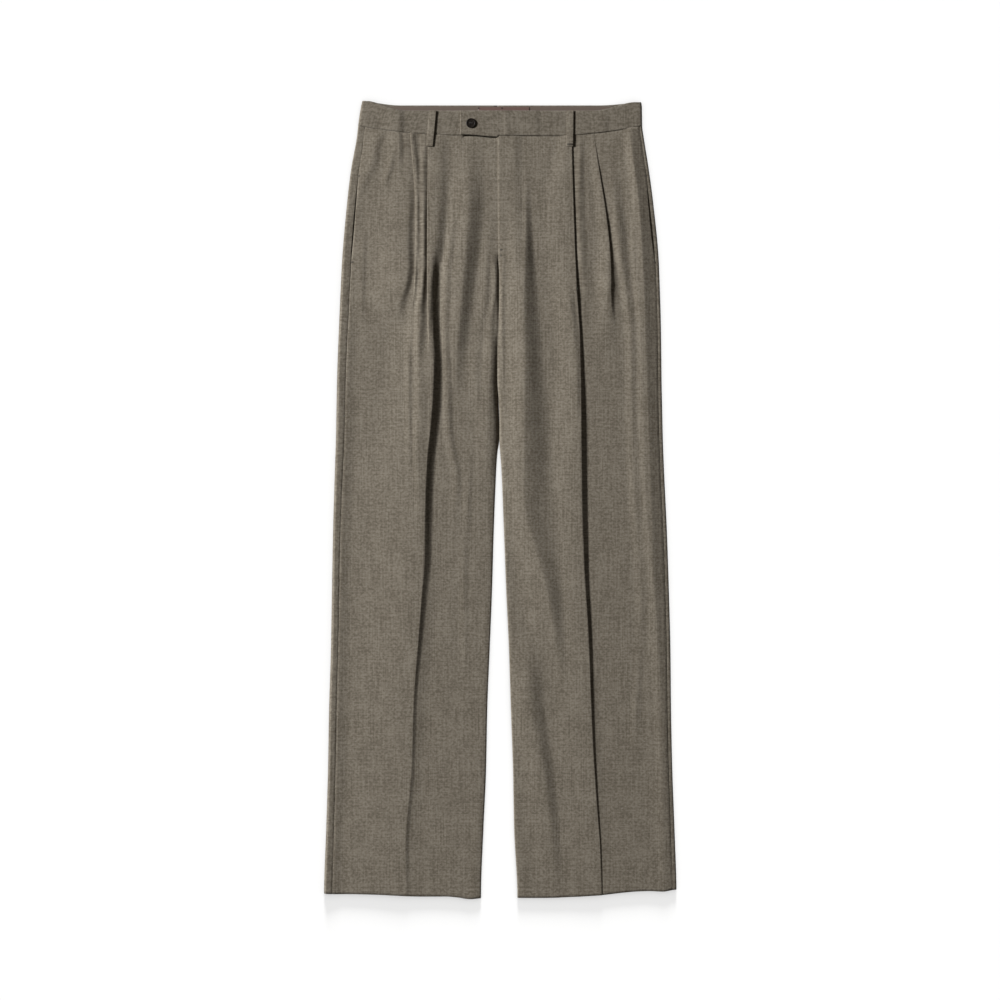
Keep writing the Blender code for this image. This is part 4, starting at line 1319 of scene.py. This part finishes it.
# --- The belt loops --------------------------------------------------------------------------
# Each loop is a strip of wool folded in three and stitched, sewn on over the band's top edge and
# with a bar tack below the waist seam. It stands a little clear of the band between them.

# A loop's foot rests on the highest cloth under it, less the depth that it sinks in.
Loop = namedtuple("Loop", "middle slant rise foot_sink")
LOOPS = {"right": Loop(-94.9, 4.6, 0.8, 0.0), "left": Loop(96.6, 0.6, 0.5, 0.7)}
LOOP_WIDTH = 9.4
LOOP_LENGTH = 49.5
LOOP_CLOTH = 1.1
LOOP_SEAT = 5.0
LOOP_STAND = 0.1
LOOP_FREE_START = 0.27
LOOP_FREE_LENGTH = 0.22
LOOP_CROWN = 0.15
STITCH_GROOVE = 0.12
STITCH_GROOVE_PLACE = 0.36
STITCH_GROOVE_WIDTH = 0.05
LOOP_ROWS = 44
LOOP_COLUMNS = 15


def loop_top(leg):
    """Height of a loop's upper end, on the band's top edge."""
    return float(band_top(np.array(LOOPS[leg.name].middle), True))


for leg in (RIGHT, LEFT):
    place = LOOPS[leg.name]
    low_end = loop_top(leg) - LOOP_LENGTH
    share = np.linspace(0, 1, LOOP_ROWS)[:, None]
    across = np.linspace(-0.5, 0.5, LOOP_COLUMNS)[None, :]
    seat_top = BAND_FRONT_LEVEL + (BAND_CLOTH + LOOP_CLOTH) / 2 + place.rise
    under = np.abs(place.middle) + across * LOOP_WIDTH
    foot = front_level(leg, under, low_end + LOOP_SEAT + 0 * under)[1].max() - place.foot_sink
    seat_low = foot + CLOTH / 2 + LOOP_CLOTH / 2 + place.rise / 2
    free = np.clip((share - LOOP_FREE_START) / LOOP_FREE_LENGTH, 0, 1)
    level = seat_low + (seat_top - seat_low) * ease(free) + LOOP_STAND * np.sin(math.pi * free)
    level = level + LOOP_CROWN * (1 - (2 * across) ** 6)
    level = level - STITCH_GROOVE * near(np.abs(across), STITCH_GROOVE_PLACE, STITCH_GROOVE_WIDTH)
    x = place.middle + across * LOOP_WIDTH + place.slant * (share - 0.5)
    tall = low_end + share * LOOP_LENGTH + 0 * across
    points = np.stack([x, tall, level], -1)
    material = wool(f"wool_loop_{leg.name}", seed=8.8)
    loop = cloth(f"loop_{leg.name}", points, points[..., :2].copy(), material, LOOP_CLOTH)
    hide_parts(f"belt_loop_{leg.name}")
    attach(loop, "root")


# --- The button ------------------------------------------------------------------------------
# A four-hole button of near-black horn, turned with a dished middle and a raised rim, holds the
# tab. It is sewn on with two bars of dark thread.

BUTTON_CENTRE = (-39.9, 1067.5)
BUTTON_RADIUS = 6.8
BUTTON_THICKNESS = 1.7
BUTTON_DISH = 0.5
BUTTON_SEAT = TAB_LEVEL + BAND_CLOTH / 2 + 0.1
DISH_EDGE = 0.6
RIM_WIDTH = 1.6
RIM_ROUND = 0.6
HOLE_RADIUS = 0.8
HOLE_SPACING = 2.8
HORN_DARK = (0.006, 0.0045, 0.0035)
HORN_LIGHT = (0.014, 0.010, 0.007)
DISH_STEPS = 5
RIM_STEPS = 8
BUTTON_SIDES = 96
HOLE_SIDES = 24
SHARP_ANGLE = 40


def horn():
    """Polished dark horn: faint brown streaks, its gloss a little uneven along them."""
    made, shader, start = start_material("button_horn", Specular_IOR_Level=0.2)
    place = start.node("ShaderNodeTexCoord", {}, {}, 3)
    streaks = start.stretched_noise(place, (900, 160, 300), 3.0)
    colour = start.mix(streaks.ramp(0.35, 0.75), HORN_DARK, HORN_LIGHT)
    bump = start.bump(streaks, 0.1, 0.0001)
    finish_material(start, shader, Base_Color=colour, Roughness=streaks * 0.2 + 0.4, Normal=bump)
    return made


def mesh_from(name, shape):
    """The mesh of a shape that needs no more work."""
    mesh = bpy.data.meshes.new(name)
    shape.to_mesh(mesh)
    shape.free()
    return mesh


def button_outline():
    """Half a section of the disc, from the middle of its dish over the rim to its underside."""
    radius = BUTTON_RADIUS
    top = BUTTON_THICKNESS
    rim = radius - RIM_WIDTH
    outline = [(0.0, top - BUTTON_DISH), (rim - BUTTON_DISH - DISH_EDGE, top - BUTTON_DISH)]
    for step in range(DISH_STEPS + 1):
        part = step / DISH_STEPS
        outline.append((rim - BUTTON_DISH * (1 - part), top - BUTTON_DISH * (1 - ease(part))))
    for step in range(RIM_STEPS + 1):
        turn = math.pi / 2 * step / RIM_STEPS
        across = radius - RIM_WIDTH * RIM_ROUND * (1 - math.sin(turn))
        outline.append((across, top * 0.55 + top * 0.45 * math.cos(turn)))
    outline += [(radius, top * 0.3), (radius - RIM_WIDTH * 0.35, top * 0.1)]
    return outline + [(radius - RIM_WIDTH * 0.8, 0.0), (0.0, 0.0)]


def turned_disc(outline):
    """The outline turned round its middle line."""
    shape = bmesh.new()
    rings = []
    for across, up in outline:
        sides = BUTTON_SIDES if across else 1
        ring = []
        for step in range(sides):
            angle = 2 * math.pi * step / sides
            place = (across * math.cos(angle) * MM, across * math.sin(angle) * MM, up * MM)
            ring.append(shape.verts.new(place))
        rings.append(ring)
    for upper, lower in zip(rings, rings[1:]):
        for step in range(BUTTON_SIDES):
            after = (step + 1) % BUTTON_SIDES
            if len(upper) == 1:
                corners = (upper[0], lower[step], lower[after])
            elif len(lower) == 1:
                corners = (upper[step], lower[0], upper[after])
            else:
                corners = (upper[step], lower[step], lower[after], upper[after])
            shape.faces.new(corners)
    return mesh_from("waist_button", shape)


def button_shape(material):
    """The turned disc with its holes bored through."""
    piece = add_piece("waist_button", turned_disc(button_outline()))
    drill = bmesh.new()
    for x in (-0.5, 0.5):
        for y in (-0.5, 0.5):
            made = bmesh.ops.create_cone(
                drill,
                cap_ends=True,
                segments=HOLE_SIDES,
                radius1=HOLE_RADIUS * MM,
                radius2=HOLE_RADIUS * MM,
                depth=3 * BUTTON_THICKNESS * MM,
            )
            way = (x * HOLE_SPACING * MM, y * HOLE_SPACING * MM, 0)
            bmesh.ops.translate(drill, vec=way, verts=made["verts"])
    cutter = add_piece("drill", mesh_from("drill", drill))
    holes = piece.modifiers.new("holes", "BOOLEAN")
    holes.operation = "DIFFERENCE"
    holes.object = cutter
    bpy.context.view_layer.update()
    bored = piece.evaluated_get(bpy.context.evaluated_depsgraph_get())
    cut = bpy.data.meshes.new_from_object(bored)
    piece.modifiers.remove(holes)
    piece.data = cut
    bpy.data.objects.remove(cutter, do_unlink=True)
    cut.materials.clear()
    cut.materials.append(material)
    cut.shade_smooth()
    cut.set_sharp_from_angle(angle=math.radians(SHARP_ANGLE))
    return piece


STRAND_SIDES = 6
STRAND_END = 0.45
STRAND_SPACING = 0.35
BAR_SINK = 1.5
BAR_RISE = 0.3
BAR_FLAT = 0.6
BUTTON_THREAD_RADIUS = 0.2
BUTTON_THREAD_COLOUR = (0.03, 0.024, 0.02)


def strand(shape, points, radius):
    """A round strand through its points in millimetres, thinner at its two ends."""
    points = [Vector(point) for point in points]
    last = len(points) - 1
    rings = []
    for index, point in enumerate(points):
        ahead = points[min(index + 1, last)] - points[max(index - 1, 0)]
        ahead.normalize()
        aside = ahead.orthogonal().normalized()
        up = ahead.cross(aside)
        thin = radius * (STRAND_END if index in (0, last) else 1.0)
        ring = []
        for step in range(STRAND_SIDES):
            angle = 2 * math.pi * step / STRAND_SIDES
            place = point + (aside * math.cos(angle) + up * math.sin(angle)) * thin
            place = (place.x * MM, (place.y - MIDDLE_HEIGHT) * MM, place.z * MM)
            ring.append(shape.verts.new(place))
        rings.append(ring)
    for first, second in zip(rings, rings[1:]):
        for step in range(STRAND_SIDES):
            after = (step + 1) % STRAND_SIDES
            shape.faces.new((first[step], first[after], second[after], second[step]))
    shape.faces.new(rings[0][::-1])
    shape.faces.new(rings[-1])


def thread_finish(name, colour):
    """Twisted sewing thread, with painted shade between its plies."""
    made, shader, start = start_material(name, Sheen_Weight=0.2, Sheen_Roughness=0.4)
    place = start.node("ShaderNodeTexCoord", {}, {}, 3)
    wave = {"Vector": place, "Scale": 900.0}
    twist = start.node("ShaderNodeTexWave", {"bands_direction": "DIAGONAL"}, wave, 1)
    # The grooves of the twist are painted 40% darker, as shade.
    colour_with_painted_shade = start.mix(twist * 0.6, colour, tuple(value * 0.6 for value in colour))
    bump = start.bump(twist, 0.4, 0.0001)
    finish_material(start, shader, Base_Color=colour_with_painted_shade, Roughness=twist * 0.2 + 0.6, Normal=bump)
    return made


def thread(name, runs, radius, colour):
    """Short runs of sewing thread, each a strand through its points."""
    shape = bmesh.new()
    for points in runs:
        strand(shape, points, radius)
    mesh = mesh_from(name, shape)
    mesh.shade_smooth()
    mesh.materials.append(thread_finish(f"{name}_finish", colour))
    return add_piece(name, mesh)


waist_button = button_shape(horn())
waist_button.location = (
    BUTTON_CENTRE[0] * MM,
    (BUTTON_CENTRE[1] - MIDDLE_HEIGHT) * MM,
    BUTTON_SEAT * MM,
)
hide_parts("button")
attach(waist_button, "root")
bars = []
dish = BUTTON_SEAT + BUTTON_THICKNESS - BUTTON_DISH
half = HOLE_SPACING / 2
for side in (-0.5, 0.5):
    for strand_place in (-STRAND_SPACING, 0.0, STRAND_SPACING):
        x = BUTTON_CENTRE[0] + side * HOLE_SPACING + strand_place
        y = BUTTON_CENTRE[1]
        bars.append(
            [
                (x, y - half, dish - BAR_SINK),
                (x, y - half, dish),
                (x, y - half * BAR_FLAT, dish + BAR_RISE),
                (x, y + half * BAR_FLAT, dish + BAR_RISE),
                (x, y + half, dish),
                (x, y + half, dish - BAR_SINK),
            ]
        )
button_thread = thread("button_thread", bars, BUTTON_THREAD_RADIUS, BUTTON_THREAD_COLOUR)
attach(button_thread, "root")


# --- The stitching ---------------------------------------------------------------------------
# Sewn in thread of the wool's own shade: the fly's J-shaped row, bar tacks at the ends of the fly
# and of the pocket mouths and on the belt loops, and two tacks that hold the label.

THREAD_RADIUS = 0.13
THREAD_COLOUR = (0.085, 0.072, 0.055)
LABEL_THREAD_COLOUR = (0.03, 0.02, 0.018)

# A stitch: parts of its length, and how far the thread's middle lies over the cloth there.
STITCH = 2.3
STITCH_GAP = 0.6
STITCH_SINK = 0.05
STITCH_ARC = ((0.0, -0.15), (0.2, 0.05), (0.5, 0.08), (0.8, 0.05), (1.0, -0.15))
FLY_ROW_OUT = 29.0
FLY_ROW_TOP = 1049.0
FLY_ROW_TURN = 918.0
FLY_ROW_END = (1.5, 891.0)
FLY_ROW_STEPS = 12

# The tacks: their strands, and the places of those at the fly's end (out, up, width), at the
# pocket mouths, at both ends of the loops, and on the label.
TACK_WIDTH = 6.0
TACK_RUNS = 7
TACK_STEP = 0.3
TACK_SINK = 0.15
TACK_RISE = 0.1
TACK_FLAT = 0.8
FLY_TACKS = ((3.0, 2.0, TACK_WIDTH), (2.0, -6.0, 4.0))
POCKET_TACK_HEIGHTS = (876.0, 995.0)
POCKET_TACK_IN = 1.0
POCKET_TACK_WIDTH = TACK_WIDTH * 0.7
LOOP_FOOT_HEIGHT = 1040.0
LOOP_TACK_UP = 3.0
LOOP_TACK_DOWN = 2.5
LOOP_TACK_WIDTH = LOOP_WIDTH * 0.86
LOOP_TACK_LEVEL = BAND_FRONT_LEVEL + BAND_CLOTH / 2 + LOOP_CLOTH + 0.3
LABEL_TACK_PLACES = (-29.5, 2.6)
LABEL_TACK_DROP = 4.0
LABEL_TACK_LEVEL = 3.12
LABEL_TACK_WIDTH = 2.0


def top_of_front(leg, out, height):
    """Level of the outer face of a front at a place inside its pleats."""
    level = front_level(leg, np.array([float(out)]), np.array([float(height)]))[1][0]
    return float(level) + CLOTH / 2 - STITCH_SINK


def stitch_row(corners, level_at):
    """Stitches along a line of places, each a strand that dips into the cloth at its ends."""
    places = [Vector(corner) for corner in corners]
    reach = [0.0]
    for first, second in zip(places, places[1:]):
        reach.append(reach[-1] + (second - first).length)

    def along(distance):
        for index in range(len(places) - 1):
            if distance <= reach[index + 1]:
                part = (distance - reach[index]) / (reach[index + 1] - reach[index])
                return places[index].lerp(places[index + 1], part)
        return places[-1]

    runs = []
    start_at = 0.0
    while start_at + STITCH < reach[-1]:
        run = []
        for part, lift in STITCH_ARC:
            place = along(start_at + part * STITCH)
            run.append((place.x, place.y, level_at(place.x, place.y) + lift))
        runs.append(run)
        start_at += STITCH + STITCH_GAP
    return runs


def bar_tack(x, height, level, width):
    """Close strands side by side, sewn across a place that takes strain."""
    half = width / 2
    flat = half * TACK_FLAT
    runs = []
    for run in range(TACK_RUNS):
        y = height + (run - (TACK_RUNS - 1) / 2) * TACK_STEP
        runs.append(
            [
                (x - half, y, level - TACK_SINK),
                (x - flat, y, level + TACK_RISE),
                (x + flat, y + TACK_STEP / 2, level + TACK_RISE),
                (x + half, y + TACK_STEP / 2, level - TACK_SINK),
            ]
        )
    return runs


def on_left_front(x, height):
    return top_of_front(LEFT, x, height)


corners = [(FLY_ROW_OUT, FLY_ROW_TOP, 0.0)]
for step in range(FLY_ROW_STEPS + 1):
    angle = math.pi / 2 * step / FLY_ROW_STEPS
    out = FLY_ROW_END[0] + (FLY_ROW_OUT - FLY_ROW_END[0]) * math.cos(angle)
    corners.append((out, FLY_ROW_TURN - (FLY_ROW_TURN - FLY_ROW_END[1]) * math.sin(angle), 0.0))
runs = stitch_row(corners, on_left_front)
fly_row = thread("fly_stitches", runs, THREAD_RADIUS, THREAD_COLOUR)

tacks = []
for out, up, width in FLY_TACKS:
    height = FLY_ROW_END[1] + up
    tacks += bar_tack(out, height, on_left_front(out, height), width)
for leg in (RIGHT, LEFT):
    for height in POCKET_TACK_HEIGHTS:
        front_edge = float(at(leg.seam, np.array([height])).front[0])
        out = float(side_of(leg, np.array([height]))[0]) - front_edge - POCKET_TACK_IN
        level = top_of_front(leg, out, height)
        tacks += bar_tack(leg.sign * out, height, level, POCKET_TACK_WIDTH)
front_tacks = thread("front_tacks", tacks, THREAD_RADIUS, THREAD_COLOUR)

tacks = []
for leg in (RIGHT, LEFT):
    middle = LOOPS[leg.name].middle
    places = [abs(middle) + side * LOOP_WIDTH / 2 for side in (-1, 0, 1)]
    foot = max(top_of_front(leg, out, LOOP_FOOT_HEIGHT) for out in places) + LOOP_CLOTH
    low_end = loop_top(leg) - LOOP_LENGTH
    tacks += bar_tack(middle, low_end + LOOP_TACK_UP, foot, LOOP_TACK_WIDTH)
    tacks += bar_tack(middle, loop_top(leg) - LOOP_TACK_DOWN, LOOP_TACK_LEVEL, LOOP_TACK_WIDTH)
loop_tacks = thread("loop_tacks", tacks, THREAD_RADIUS, THREAD_COLOUR)

tacks = []
for x in LABEL_TACK_PLACES:
    tacks += bar_tack(x, BACK_TOP_HEIGHT - LABEL_TACK_DROP, LABEL_TACK_LEVEL, LABEL_TACK_WIDTH)
label_tacks = thread("label_tacks", tacks, THREAD_RADIUS, LABEL_THREAD_COLOUR)
for piece in (fly_row, front_tacks, loop_tacks):
    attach(piece, "root")
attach(label_tacks, "root")


# --- The floor, the light and the camera -----------------------------------------------------
# A plain pale floor. One soft lamp at the wearer's right lights the cloth, and the floor has two
# lamps of its own, a low one beyond the waist and a wide one overhead, for its faint shadows.

FLOOR_SIZE = 4.0
FLOOR_LEVEL = -0.0002
FLOOR_GREY = 0.42
FLOOR_GLOW = 0.36

floor_shape = bmesh.new()
bmesh.ops.create_grid(floor_shape, x_segments=8, y_segments=8, size=FLOOR_SIZE)
floor_mesh = mesh_from("floor", floor_shape)
floor = bpy.data.objects.new("floor", floor_mesh)
floor.location = (0, 0, FLOOR_LEVEL)
cloth_lit = bpy.data.collections.new("lit_by_the_cloth_lamp")
for piece in bpy.context.scene.collection.objects:
    cloth_lit.objects.link(piece)
floor_lit = bpy.data.collections.new("lit_by_the_floor_lamps")
floor_lit.objects.link(floor)
bpy.context.scene.collection.objects.link(floor)
paper = bpy.data.materials.new("pale_floor")
paper.use_nodes = True
paper.node_tree.nodes.clear()
start = Wire(paper.node_tree)
matt = start.node("ShaderNodeBsdfDiffuse", {}, {"Color": (FLOOR_GREY, FLOOR_GREY, FLOOR_GREY, 1.0)})
glow = start.node("ShaderNodeEmission", {}, {"Strength": FLOOR_GLOW})
both = start.node("ShaderNodeAddShader", {}, {0: matt, 1: glow})
output = paper.node_tree.nodes.new("ShaderNodeOutputMaterial")
paper.node_tree.links.new(both.socket, output.inputs["Surface"])
floor_mesh.materials.append(paper)


def towards(azimuth, elevation):
    """The way to a lamp. The azimuth is the side it shines from, from +X towards +Y."""
    turned, raised = math.radians(azimuth), math.radians(elevation)
    across = math.cos(raised)
    return Vector((across * math.cos(turned), across * math.sin(turned), math.sin(raised)))


def far_lamp(name, azimuth, elevation, strength, softness):
    """A lamp at no set distance, for the floor alone."""
    light = bpy.data.lights.new(name, "SUN")
    light.energy = strength
    light.angle = math.radians(softness)
    piece = add_piece(name, light)
    piece.rotation_euler = towards(azimuth, elevation).to_track_quat("Z", "Y").to_euler()
    piece.light_linking.receiver_collection = floor_lit


far_lamp("low_floor_lamp", azimuth=90, elevation=11, strength=7.8, softness=12)
far_lamp("wide_floor_lamp", azimuth=90, elevation=88, strength=3.2, softness=150)

# The cloth's lamp stands at the wearer's right, low enough to draw every fold.
CLOTH_LAMP_AZIMUTH = 160
CLOTH_LAMP_ELEVATION = 28
CLOTH_LAMP_DISTANCE = 6.0
CLOTH_LAMP_RADIUS = 0.63
CLOTH_LAMP_STRENGTH = 5.9

bulb = bpy.data.lights.new("cloth_lamp", "POINT")
bulb.energy = CLOTH_LAMP_STRENGTH * 4 * math.pi * CLOTH_LAMP_DISTANCE**2
bulb.shadow_soft_size = CLOTH_LAMP_RADIUS
cloth_lamp = add_piece("cloth_lamp", bulb)
cloth_lamp.location = towards(CLOTH_LAMP_AZIMUTH, CLOTH_LAMP_ELEVATION) * CLOTH_LAMP_DISTANCE
cloth_lamp.light_linking.receiver_collection = cloth_lit

# A faint warm light from all round fills the shadows.
WORLD_COLOUR = (1.0, 0.94, 0.83, 1)
WORLD_STRENGTH = 0.075

world = bpy.data.worlds.new("studio")
world.use_nodes = True
background = world.node_tree.nodes["Background"]
background.inputs["Color"].default_value = WORLD_COLOUR
background.inputs["Strength"].default_value = WORLD_STRENGTH
bpy.context.scene.world = world

# The camera looks straight down, and sees this width at the level of the cloth, in metres.
CAMERA_LENS = 90
CAMERA_SENSOR = 36
CAMERA_SHIFT = -0.0016
VIEW_WIDTH = 1.38
VIEW_LEVEL = 0.005

camera = bpy.data.cameras.new("camera")
camera.lens = CAMERA_LENS
camera.sensor_width = CAMERA_SENSOR
camera_piece = add_piece("camera", camera)
camera_piece.location = (0, CAMERA_SHIFT, VIEW_WIDTH * CAMERA_LENS / CAMERA_SENSOR + VIEW_LEVEL)
bpy.context.scene.camera = camera_piece
bpy.context.scene.view_settings.view_transform = "Standard"
